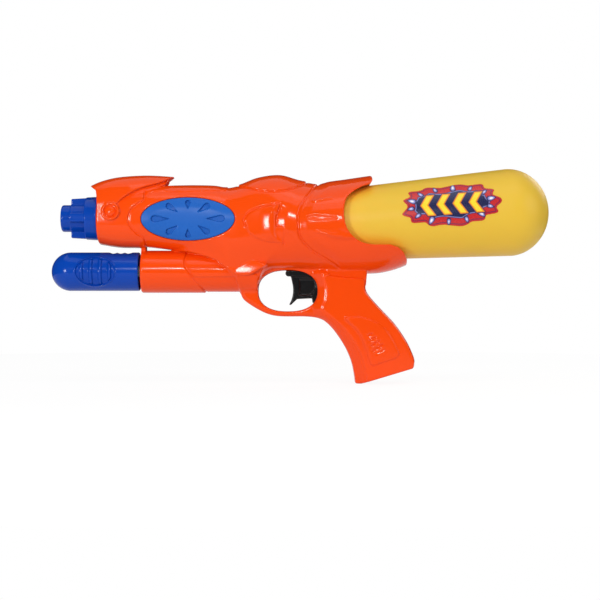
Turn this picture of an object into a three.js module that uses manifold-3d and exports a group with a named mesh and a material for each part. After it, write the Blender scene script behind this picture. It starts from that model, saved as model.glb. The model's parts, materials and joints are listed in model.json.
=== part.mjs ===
// Pump-up water squirter: a moulded two-half housing round an air pump, a pinch valve worked by the trigger,
// a turning nozzle cap, and a blown bottle tank that screws into the collar at the back.
// Millimetres, +Z up, muzzle towards -X. The origin is under the middle of the length, level with the
// lowest point of the grip, on the plane where the two housing halves meet.
import * as THREE from "three";
import { mergeVertices } from "three/addons/utils/BufferGeometryUtils.js";
import Module from "manifold-3d";

// Walls and clearances
const wall = 2.2; // housing
const seamGap = 0.3; // between the housing halves
const fit = 0.3; // between pieces seated together
const run = 0.4; // between pieces that move on each other

// Barrel of the housing
const cavityRearX = 13.4; // rear end of the barrel's hollow
const cavityLength = 175; // from there to the muzzle
const muzzleX = cavityRearX - cavityLength; // front face
const boreZ = 131.7; // axis of the nozzle
// Sections of the barrel: distance behind the muzzle, height above the bore, depth below it, half width, and
// how square the section is, where 2 is an ellipse
const barrelStations = [
  [0, 17.6, 19.5, 19.2, 2.4],
  [17.6, 22.2, 22.2, 21.2, 2.6],
  [37.6, 24.4, 22.8, 22.6, 2.6],
  [59.2, 25.4, 26.2, 23.2, 2.6],
  [76, 25.7, 28, 23.6, 2.6],
  [93.6, 25.3, 32.3, 24, 2.6],
  [103, 24.1, 38, 24.6, 2.6],
  [113.6, 26.4, 41, 26.4, 2.55],
  [119, 29.1, 41.3, 27.6, 2.5],
  [128, 32, 41.4, 29.2, 2.4],
  [145.6, 34.1, 41.3, 31, 2.25],
  [153.6, 32.6, 41.2, 31.7, 2.2],
  [161.6, 30, 41, 32.2, 2.1],
  [178, 27, 38, 33, 2],
];

// Raised shapes moulded on the barrel
const sleeveLength = 37.6;
const sleeveHeight = 0.7;
const crescentX = 67.4; // behind the muzzle, level with the oval panel
const crescentHalf = [41.2, 21.4];
const crestOverhang = 1.6; // beyond the side of the barrel
const leafHeight = 0.8;
const roundelX = 12.8; // behind the muzzle
const roundelZ = 4.6; // above the bore
const roundelRadius = 7.2;
const roundelRim = 1.6;
const roundelHeight = 1.3;

// Oval side panels
const panelX = 73.7; // behind the muzzle
const panelZ = -1.5; // above the bore
const panelHalf = [37.1, 17.1];
const panelPocket = 1.1; // depth of the recess in the wall
const panelProud = 0.9;
const petalCount = 8;
const petalReach = [0.46, 0.82]; // inner and outer end, as shares of the oval
const petalWidth = 4.6;
const petalDepth = 0.6;

// Nozzle
const nozzleRearRadius = 17.5;
const nozzleFrontRadius = 16.2;
const nozzleLength = 20.6; // skirt and ribbed part
const nozzleTipRadius = 10.5;
const nozzleTipLength = 8.6;
const nozzleWall = 2.4;
const nozzleCoreRadius = 11.3; // between the ribs
const nozzleRibWidth = 6.8;
const nozzleRibLength = 12.2;
const spigotRadius = 8.8;
const spigotLength = 13.5; // in front of the housing
const spigotFlange = 2.6;
const jetRadius = 1.4;
const sealSection = 0.9; // radius of the nozzle seal's section

// Pump
const pumpZ = 89.2;
const pumpFrontX = -126.4;
const pumpTubeLength = 92.8;
const pumpTubeRadius = 16.6;
const pumpSleeveHeight = 0.5;
const cylinderRadius = 13.6;
const cylinderWall = 1.6;
const cylinderLength = 80;
const glandLength = 7;
const glandFlange = 1.6;
const endCapLength = 5;
const endCapSpigot = 4;
const rodRadius = 4;
const pistonLength = 9;
const pistonSealWidth = 2.4;
const pistonSealDepth = 1.8;
const pistonRearGap = 1.5; // piston to end cap at rest
const handleRadius = 15.4;
const handleLength = 70.4;
const handleGap = 1.6; // handle to pump tube at rest
const handleWall = 2.2;
const handlePostRadius = 7;
const handlePostLength = 44;
const rodEngagement = 38; // of the rod in the handle's post
const gripOvalHalf = [18.4, 11.6];
const gripOvalRim = 1.6;
const gripRecess = 0.9;
const gripRibCount = 4;
const gripRibPitch = 7.4;
const gripRibWidth = 2.2;
const scallopCount = 3;
const scallopPitch = 6;
const scallopRadius = 4.4;
const scallopDepth = 0.8;

// Trigger guard and grip, measured from the middle of the finger opening
const guardX = -9.7;
const guardZ = 73.9;
const guardHalf = [23.6, 16.4];
const guardPower = 2.4;
const guardWidth = 19;
const guardEdge = 2.4; // rounding of the guard's edges
const gripWidth = 31;
const gripPower = 3.4;
const gripPanelHeight = 0.9;
// Front and rear of the grip at each section, top to bottom
const gripSections = [
  [[27, 19], [66, 19]],
  [[30.4, 0], [62.2, 1.5]],
  [[29.2, -10], [65.6, -5]],
  [[30.6, -18], [72, -12.4]],
  [[41, -26.2], [82, -22.8]],
  [[52.2, -39.4], [91.8, -35.4]],
  [[58.8, -53.6], [98.6, -49]],
  [[62.2, -68], [101.2, -59.6]],
  [[64, -80], [101, -72]],
];
const baseFront = [57.6, -73.9];
const baseRear = [96.6, -62.2];

// Trigger and its spring
const triggerWidth = 9;
const triggerFlangeWidth = 13;
const pivotX = 0.7; // from the middle of the finger opening
const pivotZ = 23.1;
const pivotHubRadius = 4.5;
const pinRadius = 1.5;
const pinBossRadius = 3.6;
const pinLength = 34;
const springX = -12; // from the pivot
const springCoilRadius = 3;
const springWire = 0.45; // radius of the wire
const springTurns = 5;
const springSeatHeight = 0.8;
const springSeatRadius = 4.6;
const pinchX = -19; // from the pivot
const pinchZ = 13;
const pinchBarReach = 9.5; // to the left, under the water hose
const armZ = 5.6; // underside of the arm above the pivot

// Tank, in its own frame: u runs along its axis from the end of the neck, w across it
const neckX = 1.2;
const neckZ = 124.42;
const tankTilt = 4.2; // degrees, the rear end up
const tankLength = 197.7;
const tankWall = 1.7;
const neckRadius = 12.5;
const neckLength = 13;
const neckBead = 1.6;
const shoulderU = 33;
const shoulderRadius = 28.6;
const tankTaper = 2.7; // degrees a side
const tankRearRound = 32;
const tankGap = 1; // tank to collar
const collarU = [-8, 20, 57, 88];
const collarRadius = [33.2, 35.2, 37.6, 38.8];
const cupFrontU = 10.8; // front of the hollow that takes the tank

// Tank connector, hoses
const connectorRadius = 15.4;
const connectorBase = 3.4;
const connectorFlange = 18.4;
const connectorFlangeThickness = 2.4;
const washerThickness = 2;
const washerBore = 7.5;
const hoseRadius = 2.9;
const hoseBore = 1.8;
const barbRadius = 1.4;
const barbBore = 0.8;
const barbLength = 9;
const barbSpread = 6.5; // each side of the middle plane

// Screws from the right-hand half: [x, z]
const screwSpots = [
  [-138, 116.5],
  [-117, 148.5],
  [-54, 146.5],
  [-15, 155],
  [35, 73.5],
  [44, 50],
  [69, 19.5],
];
const screwBossRadius = 4;
const screwHeadRadius = 2.9;
const screwHeadHeight = 2;
const screwRadius = 1.4;
const screwSeatY = 5; // under the head
const screwEndY = -9;

// Mesh fineness
const roundSides = 16;
const smallSides = 8;
const hoseSides = 8;
const ringSides = 14;
const gripSides = 12;
const collarSides = 20;
const openingSides = 22;
const innerSides = 14;
const springSteps = 7; // a turn

const wasm = await Module();
wasm.setup();
const degrees = Math.PI / 180;
const farOut = 120; // past every side of the part

// A closed mesh as a solid, with its faces turned outwards
function solid(geometry) {
  const plain = new THREE.BufferGeometry();
  plain.setAttribute("position", geometry.getAttribute("position"));
  plain.setIndex(geometry.getIndex());
  const merged = mergeVertices(plain, 1e-4);
  const index = merged.getIndex().array;
  const triangles = [];
  for (let i = 0; i < index.length; i += 3) {
    const [a, b, c] = [index[i], index[i + 1], index[i + 2]];
    if (a !== b && b !== c && c !== a) triangles.push(a, b, c);
  }
  const vertProperties = new Float32Array(merged.getAttribute("position").array);
  const make = (list) =>
    new wasm.Manifold(new wasm.Mesh({ numProp: 3, vertProperties, triVerts: new Uint32Array(list) }));
  const made = make(triangles);
  return made.volume() < 0 ? make(triangles.reverse()) : made;
}

function join(...solids) {
  return solids.reduce((all, next) => all.add(next));
}

function cut(from, ...tools) {
  return tools.reduce((left, tool) => left.subtract(tool), from);
}

function common(...solids) {
  return solids.reduce((shared, next) => shared.intersect(next));
}

// Smooth value at x through a list of [x, value], level beyond its ends
function smooth(points, x) {
  const last = points.length - 1;
  if (x <= points[0][0]) return points[0][1];
  if (x >= points[last][0]) return points[last][1];
  const i = points.findIndex((p) => p[0] > x) - 1;
  const slope = (j) => {
    const [a, b] = [points[Math.max(j - 1, 0)], points[Math.min(j + 1, last)]];
    return (b[1] - a[1]) / (b[0] - a[0]);
  };
  const span = points[i + 1][0] - points[i][0];
  const t = (x - points[i][0]) / span;
  const [h0, h1] = [(1 + 2 * t) * (1 - t) ** 2, t * t * (3 - 2 * t)];
  const [g0, g1] = [t * (1 - t) ** 2, t * t * (t - 1)];
  return h0 * points[i][1] + h1 * points[i + 1][1] + span * (g0 * slope(i) + g1 * slope(i + 1));
}

// Points on a smooth curve through the given ones
function flow(points, perSpan, closed = false) {
  const curve = new THREE.CatmullRomCurve3(points.map(([x, z]) => new THREE.Vector3(x, z, 0)), closed,
    "centripetal");
  const spans = closed ? points.length : points.length - 1;
  const all = curve.getPoints(spans * perSpan).map((p) => [p.x, p.y]);
  return closed ? all.slice(0, -1) : all;
}

function moved(points, dx, dz) {
  return points.map(([x, z]) => [x + dx, z + dz]);
}

function superPoint(angle, power) {
  const [c, s] = [Math.cos(angle), Math.sin(angle)];
  return [Math.sign(c) * Math.abs(c) ** (2 / power), Math.sign(s) * Math.abs(s) ** (2 / power)];
}

function ovalOutline(x, z, half, power = 2, sides = roundSides) {
  return Array.from({ length: sides }, (_, i) => {
    const [c, s] = superPoint((2 * Math.PI * i) / sides, power);
    return [x + half[0] * c, z + half[1] * s];
  });
}

// An outline in X and Z, extruded along Y; a rounding draws its two faces in
function prism(outline, y0, y1, rounding = 0) {
  const shape = new THREE.Shape(outline.map(([x, z]) => new THREE.Vector2(x, z)));
  const bevel = { bevelEnabled: true, bevelThickness: rounding, bevelSize: rounding,
    bevelOffset: -rounding };
  const geometry = new THREE.ExtrudeGeometry(shape, {
    depth: y1 - y0 - 2 * rounding,
    ...(rounding > 0 ? { ...bevel, bevelSegments: 1 } : { bevelEnabled: false }),
  });
  return solid(geometry.rotateX(Math.PI / 2).translate(0, y1 - rounding, 0));
}

// A profile of [radius, x] turned about the X axis
function turned(profile, sides = roundSides) {
  const points = profile.map(([r, x]) => new THREE.Vector2(r, x));
  return new THREE.LatheGeometry(points, sides).rotateZ(-Math.PI / 2);
}

function turnedRing(profile, sides = roundSides) {
  return turned([...profile, profile[0]], sides);
}

function rodX(radius, x0, x1, sides = roundSides) {
  return turned([[0, x0], [radius, x0], [radius, x1], [0, x1]], sides);
}

function pipeX(outer, inner, x0, x1, sides = roundSides) {
  return turnedRing([[inner, x0], [outer, x0], [outer, x1], [inner, x1]], sides);
}

function rodY(x, z, radius, y0, y1, sides = smallSides) {
  return new THREE.CylinderGeometry(radius, radius, y1 - y0, sides).translate(x, (y0 + y1) / 2, z);
}

function rodZ(x, y, radius, z0, z1, sides = smallSides) {
  return new THREE.CylinderGeometry(radius, radius, z1 - z0, sides).rotateX(Math.PI / 2).translate(x, y,
    (z0 + z1) / 2);
}

function block(x0, x1, y0, y1, z0, z1) {
  const box = new THREE.BoxGeometry(x1 - x0, y1 - y0, z1 - z0);
  return solid(box.translate((x0 + x1) / 2, (y0 + y1) / 2, (z0 + z1) / 2));
}

// A skin through rings of points, closed at both ends
function loft(rings) {
  const count = rings[0].length;
  const positions = rings.flat();
  const index = [];
  for (let i = 0; i + 1 < rings.length; i++) {
    for (let k = 0; k < count; k++) {
      const [a, b] = [i * count + k, i * count + ((k + 1) % count)];
      index.push(a, b, a + count, b, b + count, a + count);
    }
  }
  for (const first of [0, rings.length - 1]) {
    const ring = rings[first];
    const middle = [0, 1, 2].map((axis) => ring.reduce((sum, p) => sum + p[axis], 0) / count);
    const centre = positions.push(middle) - 1;
    for (let k = 0; k < count; k++) {
      const [a, b] = [first * count + k, first * count + ((k + 1) % count)];
      index.push(...(first === 0 ? [b, a, centre] : [a, b, centre]));
    }
  }
  const geometry = new THREE.BufferGeometry();
  geometry.setAttribute("position", new THREE.Float32BufferAttribute(positions.flat(), 3));
  geometry.setIndex(index);
  return solid(geometry);
}

// A tube with a bore along a curve through the given points
function hose(points, outer, inner, steps, sides = hoseSides) {
  const ring = (radius) =>
    Array.from({ length: sides }, (_, i) => {
      const angle = (2 * Math.PI * i) / sides;
      return new THREE.Vector2(radius * Math.cos(angle), radius * Math.sin(angle));
    });
  const shape = new THREE.Shape(ring(outer));
  if (inner > 0) shape.holes.push(new THREE.Path(ring(inner)));
  const extrudePath = new THREE.CatmullRomCurve3(points.map((p) => new THREE.Vector3(...p)), false,
    "centripetal");
  return solid(new THREE.ExtrudeGeometry(shape, { steps, extrudePath }));
}

// From the tank's own frame to the part's
function onTank(geometry) {
  return geometry.rotateY(-tankTilt * degrees).translate(neckX, 0, neckZ);
}

function tankPoint(u, y, w) {
  return new THREE.Vector3(u, y, w).applyAxisAngle(new THREE.Vector3(0, 1, 0), -tankTilt * degrees)
    .add(new THREE.Vector3(neckX, 0, neckZ)).toArray();
}

// Barrel of the housing, grown or shrunk by an even amount, from one distance behind the muzzle to another
function barrel(grow, from = 0, to = barrelStations.at(-1)[0]) {
  const between = barrelStations.map((row) => row[0]).filter((x) => x > from && x < to);
  return loft([from, ...between, to].map((x) => {
    const { top, bottom, half, power } = barrelAt(x);
    return superRing(muzzleX + x, top + grow, bottom - grow, half + grow, power);
  }));
}

function barrelAt(x) {
  const column = (i) => barrelStations.map((row) => [row[0], row[i]]);
  const [above, below, half, power] = [1, 2, 3, 4].map((i) => smooth(column(i), x));
  return { top: boreZ + above, bottom: boreZ - below, half, power };
}

function superRing(x, top, bottom, half, power) {
  return ovalOutline(0, 0, [half, (top - bottom) / 2], power, ringSides)
    .map(([y, z]) => [x, y, (top + bottom) / 2 + z]);
}

// Crest over the muzzle: a hood wider than the barrel, cut to its swept outline
function crest() {
  const topEdge = [[-5.4, 25.7], [1.6, 28.9], [11.2, 31.7], [20.8, 33.2], [35.2, 34.1], [44.8, 34.1],
    [60.6, 33.2]];
  const lowEdge = [[53.9, 26], [41.6, 24.4], [33.6, 22.4], [25.6, 19.2], [19.2, 14.8], [16.4, 10]];
  const front = [[roundelX, roundelZ], [4.6, 8], [2.1, 17.8], [1, 21.3]];
  const outline = [...topEdge, ...lowEdge, ...front];
  const rings = [-6, 4, 16, 28, 44, 62].map((x) => {
    const { half, power } = barrelAt(x);
    return superRing(muzzleX + x, boreZ + smooth(topEdge, x) + 1, boreZ - 20, half + crestOverhang, power);
  });
  return common(loft(rings), prism(moved(outline, muzzleX, boreZ), -farOut, farOut));
}

// Ring with a dome in it, on each side of the muzzle
function roundel() {
  const x = muzzleX + roundelX;
  const z = boreZ + roundelZ;
  const top = barrelAt(roundelX).half + crestOverhang + roundelHeight;
  const root = top - 6;
  const dome = roundelRadius - 1.6 * roundelRim;
  const face = [
    [0, root], [roundelRadius, root], [roundelRadius, top], [roundelRadius - roundelRim, top],
    [dome, top - 0.9], [0.6 * dome, top + 0.2], [0, top + 0.5],
  ];
  const lathe = new THREE.LatheGeometry(face.map(([r, y]) => new THREE.Vector2(r, y)), innerSides);
  const left = lathe.clone().rotateX(Math.PI);
  return join(solid(lathe.translate(x, 0, z)), solid(left.translate(x, 0, z)));
}

function leafPads() {
  const edge = [[118.3, -2.8], [129.3, 5.8], [145.7, 9.7]];
  const hollow = [[145.7, 9.7], [142.4, -2.8], [144.4, -13.7], [148.4, -20.7]];
  const lower = [[148.4, -20.7], [133.5, -19.1], [122.6, -12.9], [118.3, -2.8]];
  const outline = [...flow(edge, 2), ...flow(hollow, 2).slice(1), ...flow(lower, 2).slice(1, -1)];
  return common(barrel(leafHeight), prism(moved(outline, muzzleX, boreZ), -farOut, farOut));
}

function noseSleeve() {
  const outline = [[-1, -farOut], [sleeveLength, -farOut], [sleeveLength, farOut], [-1, farOut]];
  const crescent = prism(ovalOutline(muzzleX + crescentX, boreZ + panelZ, crescentHalf), -farOut, farOut);
  return cut(common(barrel(sleeveHeight), prism(moved(outline, muzzleX, boreZ), -farOut, farOut)),
    crescent);
}

// Pump tube with its raised front sleeve and the band that closes it at the back
function pumpTube() {
  const rear = pumpFrontX + pumpTubeLength;
  const along = (r, x0, x1) => solid(rodX(r, x0, x1).translate(0, 0, pumpZ));
  const sleeveEdge = [[-4, 40], [46, 40], [46.8, 16], [47.4, 4.5], [53.5, -4.4], [62.4, -20], [-4, -20]];
  const bandEdge = [[70, 40], [70, 15], [78, 8.4], [84.4, -0.7], [88.4, -9], [91, -20], [110, -20],
    [110, 40]];
  const proud = pumpTubeRadius + pumpSleeveHeight;
  const sleeve = common(along(proud, pumpFrontX, rear),
    prism(moved(sleeveEdge, pumpFrontX, pumpZ), -farOut, farOut));
  const band = common(along(proud, pumpFrontX, rear),
    prism(moved(bandEdge, pumpFrontX - 10, pumpZ), -farOut, farOut));
  return join(along(pumpTubeRadius, pumpFrontX + 0.5, rear), sleeve, band);
}

// Webs that tie the pump tube to the barrel and to the guard, and the grip to the collar
function webs() {
  const frontTab = block(pumpFrontX, pumpFrontX + 3, -6, 6, pumpZ + pumpTubeRadius - 2, boreZ - 20);
  const rearX = pumpFrontX + pumpTubeLength;
  const rearWeb = [[-30, 16], [8, 18], [4, -3], [0, -12], [-13, -15], [-22, -4]];
  const root = [[8, 17], [4, 26], [68, 26], [64, 16], [61, 4], [30, 0]];
  const rootHalf = gripWidth / 2 - 0.5;
  return join(frontTab, prism(moved(rearWeb, rearX, pumpZ), -14, 14, 3),
    prism(moved(root, guardX, guardZ), -rootHalf, rootHalf, 3));
}

// Trigger guard, running on as a strip down the front of the grip
function guard() {
  const outer = [
    [-37.7, -1.7], [-34.7, -7.3], [-25.9, -13.5], [-15.9, -18.4], [-5.5, -20.3], [14.9, -20.5], [24.9, -22],
    [31.3, -25.7], [38.5, -33.7], [45.7, -44.9], [50.5, -56.1], [52.7, -67.3],
  ];
  const foot = [[53.6, -72], baseFront, [66, -71.4]];
  const inner = [[64, -60], [58, -44], [46, -28], [34, -12], [34, 20], [-30, 24], [-38, 12]];
  return prism(moved([...outer, ...foot, ...inner], guardX, guardZ), -guardWidth / 2, guardWidth / 2,
    guardEdge);
}

// Grip, grown or shrunk by an even amount, between two of its sections
function grip(grow, from = 0, to = gripSections.length - 1) {
  const rings = gripSections.slice(from, to + 1).map(([front, rear]) => {
    const [dx, dz] = [rear[0] - front[0], rear[1] - front[1]];
    const length = Math.hypot(dx, dz);
    const half = [length / 2 + grow, gripWidth / 2 + grow];
    return ovalOutline(0, 0, half, gripPower, gripSides).map(([a, y]) => [
      guardX + (front[0] + rear[0]) / 2 + (a * dx) / length,
      y,
      guardZ + (front[1] + rear[1]) / 2 + (a * dz) / length,
    ]);
  });
  return loft(rings);
}

function gripPads() {
  const field = [[46, -22.3], [55.8, -32.9], [61.7, -45.7], [65.2, -57.6], [67, -59.4], [86.3, -52.9],
    [88.2, -49],
    [80.1, -34.5], [71.1, -25.7], [55.8, -20.9]];
  const window = [[63.9, -33.5], [77.4, -46.6], [69.4, -50.2]];
  const onGrip = (outline, height) =>
    common(grip(height), prism(moved(outline, guardX, guardZ), -farOut, farOut));
  return cut(onGrip(field, gripPanelHeight), cut(onGrip(window, 3), grip(0.2)));
}

// Everything above the sloping base of the grip, raised by an amount
function aboveBase(raise) {
  const slope = (baseRear[1] - baseFront[1]) / (baseRear[0] - baseFront[0]);
  const at = (x) => baseFront[1] + slope * (x - baseFront[0]) + raise * Math.hypot(1, slope);
  const outline = [[-farOut * 2, at(baseFront[0])], [baseFront[0], at(baseFront[0])],
    [farOut * 3, at(farOut * 3)],
    [farOut * 3, farOut * 2], [-farOut * 2, farOut * 2]];
  return prism(moved(outline, guardX, guardZ), -farOut, farOut);
}

// Outside of the tank at a distance along its axis
function tankRadius(u) {
  if (u < shoulderU) {
    const t = (shoulderU - Math.max(u, neckLength)) / (shoulderU - neckLength);
    return neckRadius + (shoulderRadius - neckRadius) * Math.sqrt(1 - t * t);
  }
  const cone = (at) => shoulderRadius + (at - shoulderU) * Math.tan(tankTaper * degrees);
  const start = tankLength - tankRearRound;
  if (u < start) return cone(u);
  const t = Math.min((u - start) / tankRearRound, 1);
  return cone(start) * Math.sqrt(1 - t * t);
}

const shoulderArc = [0.06, 0.25, 0.56, 1]; // stops along the shoulder
// Profile of the tank from its neck to its rear end, drawn in by an amount
function tankProfile(inset) {
  const shoulder = shoulderArc.map((t) => neckLength + t * (shoulderU - neckLength));
  const rear = [0, 0.35, 0.62, 0.84, 0.96].map((t) => tankLength - tankRearRound * (1 - t));
  const back = (tankLength - inset) / tankLength;
  return [...shoulder, ...rear].map((u, i) => [
    Math.max(tankRadius(u) - inset, 0),
    i < shoulder.length ? u + inset * (1 - shoulderArc[i]) : u * back,
  ]);
}

// Collar round the tank, cut to its side outline with an ear above and a jaw below
function collar() {
  const plate = [[14.7, 34.2], [5.4, 23.7], [-1.4, 12], [-1.9, -1.6], [-0.3, -9.6], [7.8, -19.2],
    [21.9, -29.1],
    [30, -38]];
  const jaw = [[56.3, -40], [67.4, -38.6], [76.5, -37], [80.6, -35.2], [81.6, -32.2], [78.7, -26],
    [74.2, -22.3],
    [67.9, -19.6]];
  const mouth = [[67.9, -19.6], [50.9, -17.9], [42.3, -12.8], [36.4, -3.3], [35.6, 9.2], [39.1, 20.2],
    [47.3, 26.8],
    [56.6, 29.7]];
  const ear = [[58.6, 33.4], [58.2, 36], [56.6, 37.1], [45.6, 36.8], [34.3, 36], [22.1, 34.6]];
  const outline = [...plate, ...jaw, ...mouth.slice(1), ...ear];
  const profile = collarU.map((u, i) => [collarRadius[i], u]);
  const around = onTank(turned([[0, collarU[0]], ...profile, [0, collarU.at(-1)]], collarSides));
  const shape = new THREE.Shape(outline.map(([u, w]) => new THREE.Vector2(u, w)));
  const side = new THREE.ExtrudeGeometry(shape, { depth: 2 * farOut, bevelEnabled: false });
  return common(solid(around), solid(onTank(side.rotateX(Math.PI / 2).translate(0, farOut, 0))));
}

// Hollow for the tank's shoulder and body, grown by an amount, open at the back
function cup(grow, frontU) {
  const profile = [[0, frontU], [neckRadius + neckBead + grow, frontU]];
  for (const [r, u] of tankProfile(0).slice(0, shoulderArc.length)) profile.push([r + grow,
    Math.max(u - grow, frontU)]);
  const rearU = collarU.at(-1) + 8;
  profile.push([tankRadius(rearU) + grow, rearU], [0, rearU]);
  return solid(onTank(turned(profile, collarSides)));
}

const flangeU = cupFrontU - wall - fit - connectorFlangeThickness;
const pivot = [guardX + pivotX, guardZ + pivotZ];
const bellyZ = barrelAt(pivot[0] + springX - muzzleX).bottom;
const springFloorZ = bellyZ + wall + springSeatHeight;
const cylinderFrontX = pumpFrontX + glandFlange + fit;
const endCapX = cylinderFrontX + cylinderLength + fit;
const hoseHoleX = endCapX + endCapLength / 2;
const capTopZ = pumpZ + Math.sqrt(cylinderRadius ** 2 - barbSpread ** 2);
const pinchHoseZ = pivot[1] + pinchZ + fit + hoseRadius;

// Outside of the whole housing
function housingBody() {
  const body = join(
    barrel(0), noseSleeve(), crest(), roundel(), leafPads(), pumpTube(), webs(), guard(),
    common(join(grip(0), gripPads()), aboveBase(0)), collar(),
  );
  return cut(common(body, aboveBase(0)), fingerOpening());
}

function fingerOpening() {
  return prism(ovalOutline(guardX, guardZ, guardHalf, guardPower, openingSides), -farOut, farOut);
}

// Hollows inside the housing
function housingHollow() {
  const inBarrel = cut(barrel(-wall, wall, cavityLength), cup(tankGap + wall, cupFrontU - wall));
  const inGrip = common(grip(-wall, 1), aboveBase(wall));
  const clearOfOpening = prism(
    ovalOutline(guardX, guardZ, guardHalf.map((h) => h + wall), guardPower, openingSides), -farOut, farOut);
  return join(cut(inBarrel, clearOfOpening), cut(inGrip, clearOfOpening));
}

// Ribs and bosses moulded inside, ending within the walls
function housingInside() {
  const casingRear = endCapX + endCapLength + fit + wall;
  const pumpCasing = solid(rodX(pumpTubeRadius, pumpFrontX + 1, casingRear).translate(0, 0, pumpZ));
  const ribU = flangeU - fit - wall;
  const ribBox = new THREE.BoxGeometry(wall, 2 * farOut, 18).translate(ribU + wall / 2, 0, 0);
  const connectorRib = solid(onTank(ribBox));
  const seat = solid(rodZ(pivot[0] + springX, 0, springSeatRadius, bellyZ + 0.2, springFloorZ));
  const muzzleRib = block(muzzleX + 2 * wall + 2 * fit, muzzleX + 3 * wall + 2 * fit, -farOut, farOut,
    boreZ - 8, boreZ + 8);
  const bosses = screwSpots.map(([x, z]) => solid(rodY(x, z, screwBossRadius, -farOut, farOut)));
  const pinBoss = cut(
    solid(rodY(pivot[0], pivot[1], pinBossRadius, -farOut, farOut)),
    block(pivot[0] - 9, pivot[0] + 9, -triggerFlangeWidth / 2 - run, triggerFlangeWidth / 2 + run,
      pivot[1] - 9, pivot[1] + 9));
  const core = join(barrel(-wall / 2, wall / 2), common(grip(-wall / 2), aboveBase(wall / 2)));
  return join(pumpCasing, common(join(connectorRib, seat, muzzleRib, ...bosses, pinBoss), core));
}

// Holes through the housing for what it holds
function housingHoles() {
  const pumpBore = solid(rodX(cylinderRadius + fit, pumpFrontX - 5,
    endCapX + endCapLength + fit).translate(0, 0, pumpZ));
  const nozzleHole = solid(rodX(spigotRadius + fit, muzzleX - 5, muzzleX + 5).translate(0, 0, boreZ));
  const stemHole = solid(rodX(hoseRadius + fit, muzzleX, muzzleX + 20, smallSides).translate(0, 0, boreZ));
  const connectorHole = solid(onTank(rodX(connectorRadius + fit, flangeU - 2 * wall, cupFrontU + 1)));
  const airHole = solid(rodZ(hoseHoleX, barbSpread, hoseRadius + fit, pumpZ, pumpZ + 22));
  const bladeHalf = triggerWidth / 2 + run;
  const flangeHalf = triggerFlangeWidth / 2 + run;
  const bladeSlot = [[-4, 18], [33, 18], [33, -8], [26, -14], [6, -14]];
  const flangeSlot = [[-7.5, 10], [29, 10], [31, 22], [-8.5, 22]];
  const slots = join(
    prism(moved(bladeSlot, guardX, guardZ), -bladeHalf, bladeHalf),
    prism(moved(flangeSlot, guardX, guardZ), -flangeHalf, flangeHalf));
  const pinHole = solid(rodY(pivot[0], pivot[1], pinRadius + fit, -pinLength / 2 - fit,
    pinLength / 2 + fit));
  return join(pumpBore, nozzleHole, stemHole, connectorHole, airHole, slots, pinHole,
    cup(tankGap, cupFrontU));
}

function panelOutline(inset) {
  return ovalOutline(muzzleX + panelX, boreZ + panelZ, panelHalf.map((h) => h - inset));
}

function panelPockets() {
  return cut(prism(panelOutline(0), -farOut, farOut), barrel(-panelPocket));
}

// Screw holes: a deep recess on the right half, a pilot hole on the left
function screwHoles(side) {
  return screwSpots.map(([x, z]) =>
    side > 0
      ? join(
        solid(rodY(x, z, screwHeadRadius + fit, screwSeatY, farOut)),
        solid(rodY(x, z, screwRadius + fit, -1, screwSeatY + 1)))
      : solid(rodY(x, z, screwRadius + fit, screwEndY - fit, 1)));
}

function housing() {
  const outside = housingBody();
  const walls = join(cut(outside, housingHollow()), housingInside());
  const shell = cut(walls, housingHoles(), panelPockets());
  const anvilX = pivot[0] + pinchX;
  const anvil = common(
    block(anvilX - 1.6, anvilX + 1.6, -farOut, -1, pinchHoseZ + hoseRadius + 2 * fit,
      pinchHoseZ + hoseRadius + 12), barrel(-wall / 2));
  const half = (side) => block(-2 * farOut, 2 * farOut,
    ...(side < 0 ? [-farOut, -seamGap / 2] : [seamGap / 2, farOut]),
    -farOut, 2 * farOut);
  return {
    left: cut(common(join(shell, anvil), half(-1)), ...screwHoles(-1)),
    right: cut(common(shell, half(1)), ...screwHoles(1)),
  };
}

// Petal with its round end outwards, on the oval at an angle
function petal(angle) {
  const at = (share) => [share * panelHalf[0] * Math.cos(angle), share * panelHalf[1] * Math.sin(angle)];
  const [inner, outer] = petalReach.map(at);
  const length = Math.hypot(outer[0] - inner[0], outer[1] - inner[1]);
  const [ex, ez] = [(outer[0] - inner[0]) / length, (outer[1] - inner[1]) / length];
  const half = petalWidth / 2;
  const edge = [[0, 0], [0.45 * length, 0.7 * half], [length - half, half],
    [length - 0.3 * half, 0.7 * half]];
  const both = [...edge, [length, 0], ...edge.slice(1).reverse().map(([a, b]) => [a, -b])];
  return both.map(([a, b]) => [inner[0] + a * ex - b * ez, inner[1] + a * ez + b * ex]);
}

function sidePanel(side) {
  const sheet = cut(barrel(panelProud), barrel(fit - panelPocket));
  const [y0, y1] = side < 0 ? [-farOut, -3] : [3, farOut];
  const plate = common(sheet, prism(panelOutline(fit), y0, y1));
  const floor = barrel(panelProud - petalDepth);
  const petals = Array.from({ length: petalCount }, (_, i) =>
    cut(prism(moved(petal((2 * Math.PI * i) / petalCount), muzzleX + panelX, boreZ + panelZ), y0, y1),
      floor));
  return cut(plate, ...petals);
}

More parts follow.
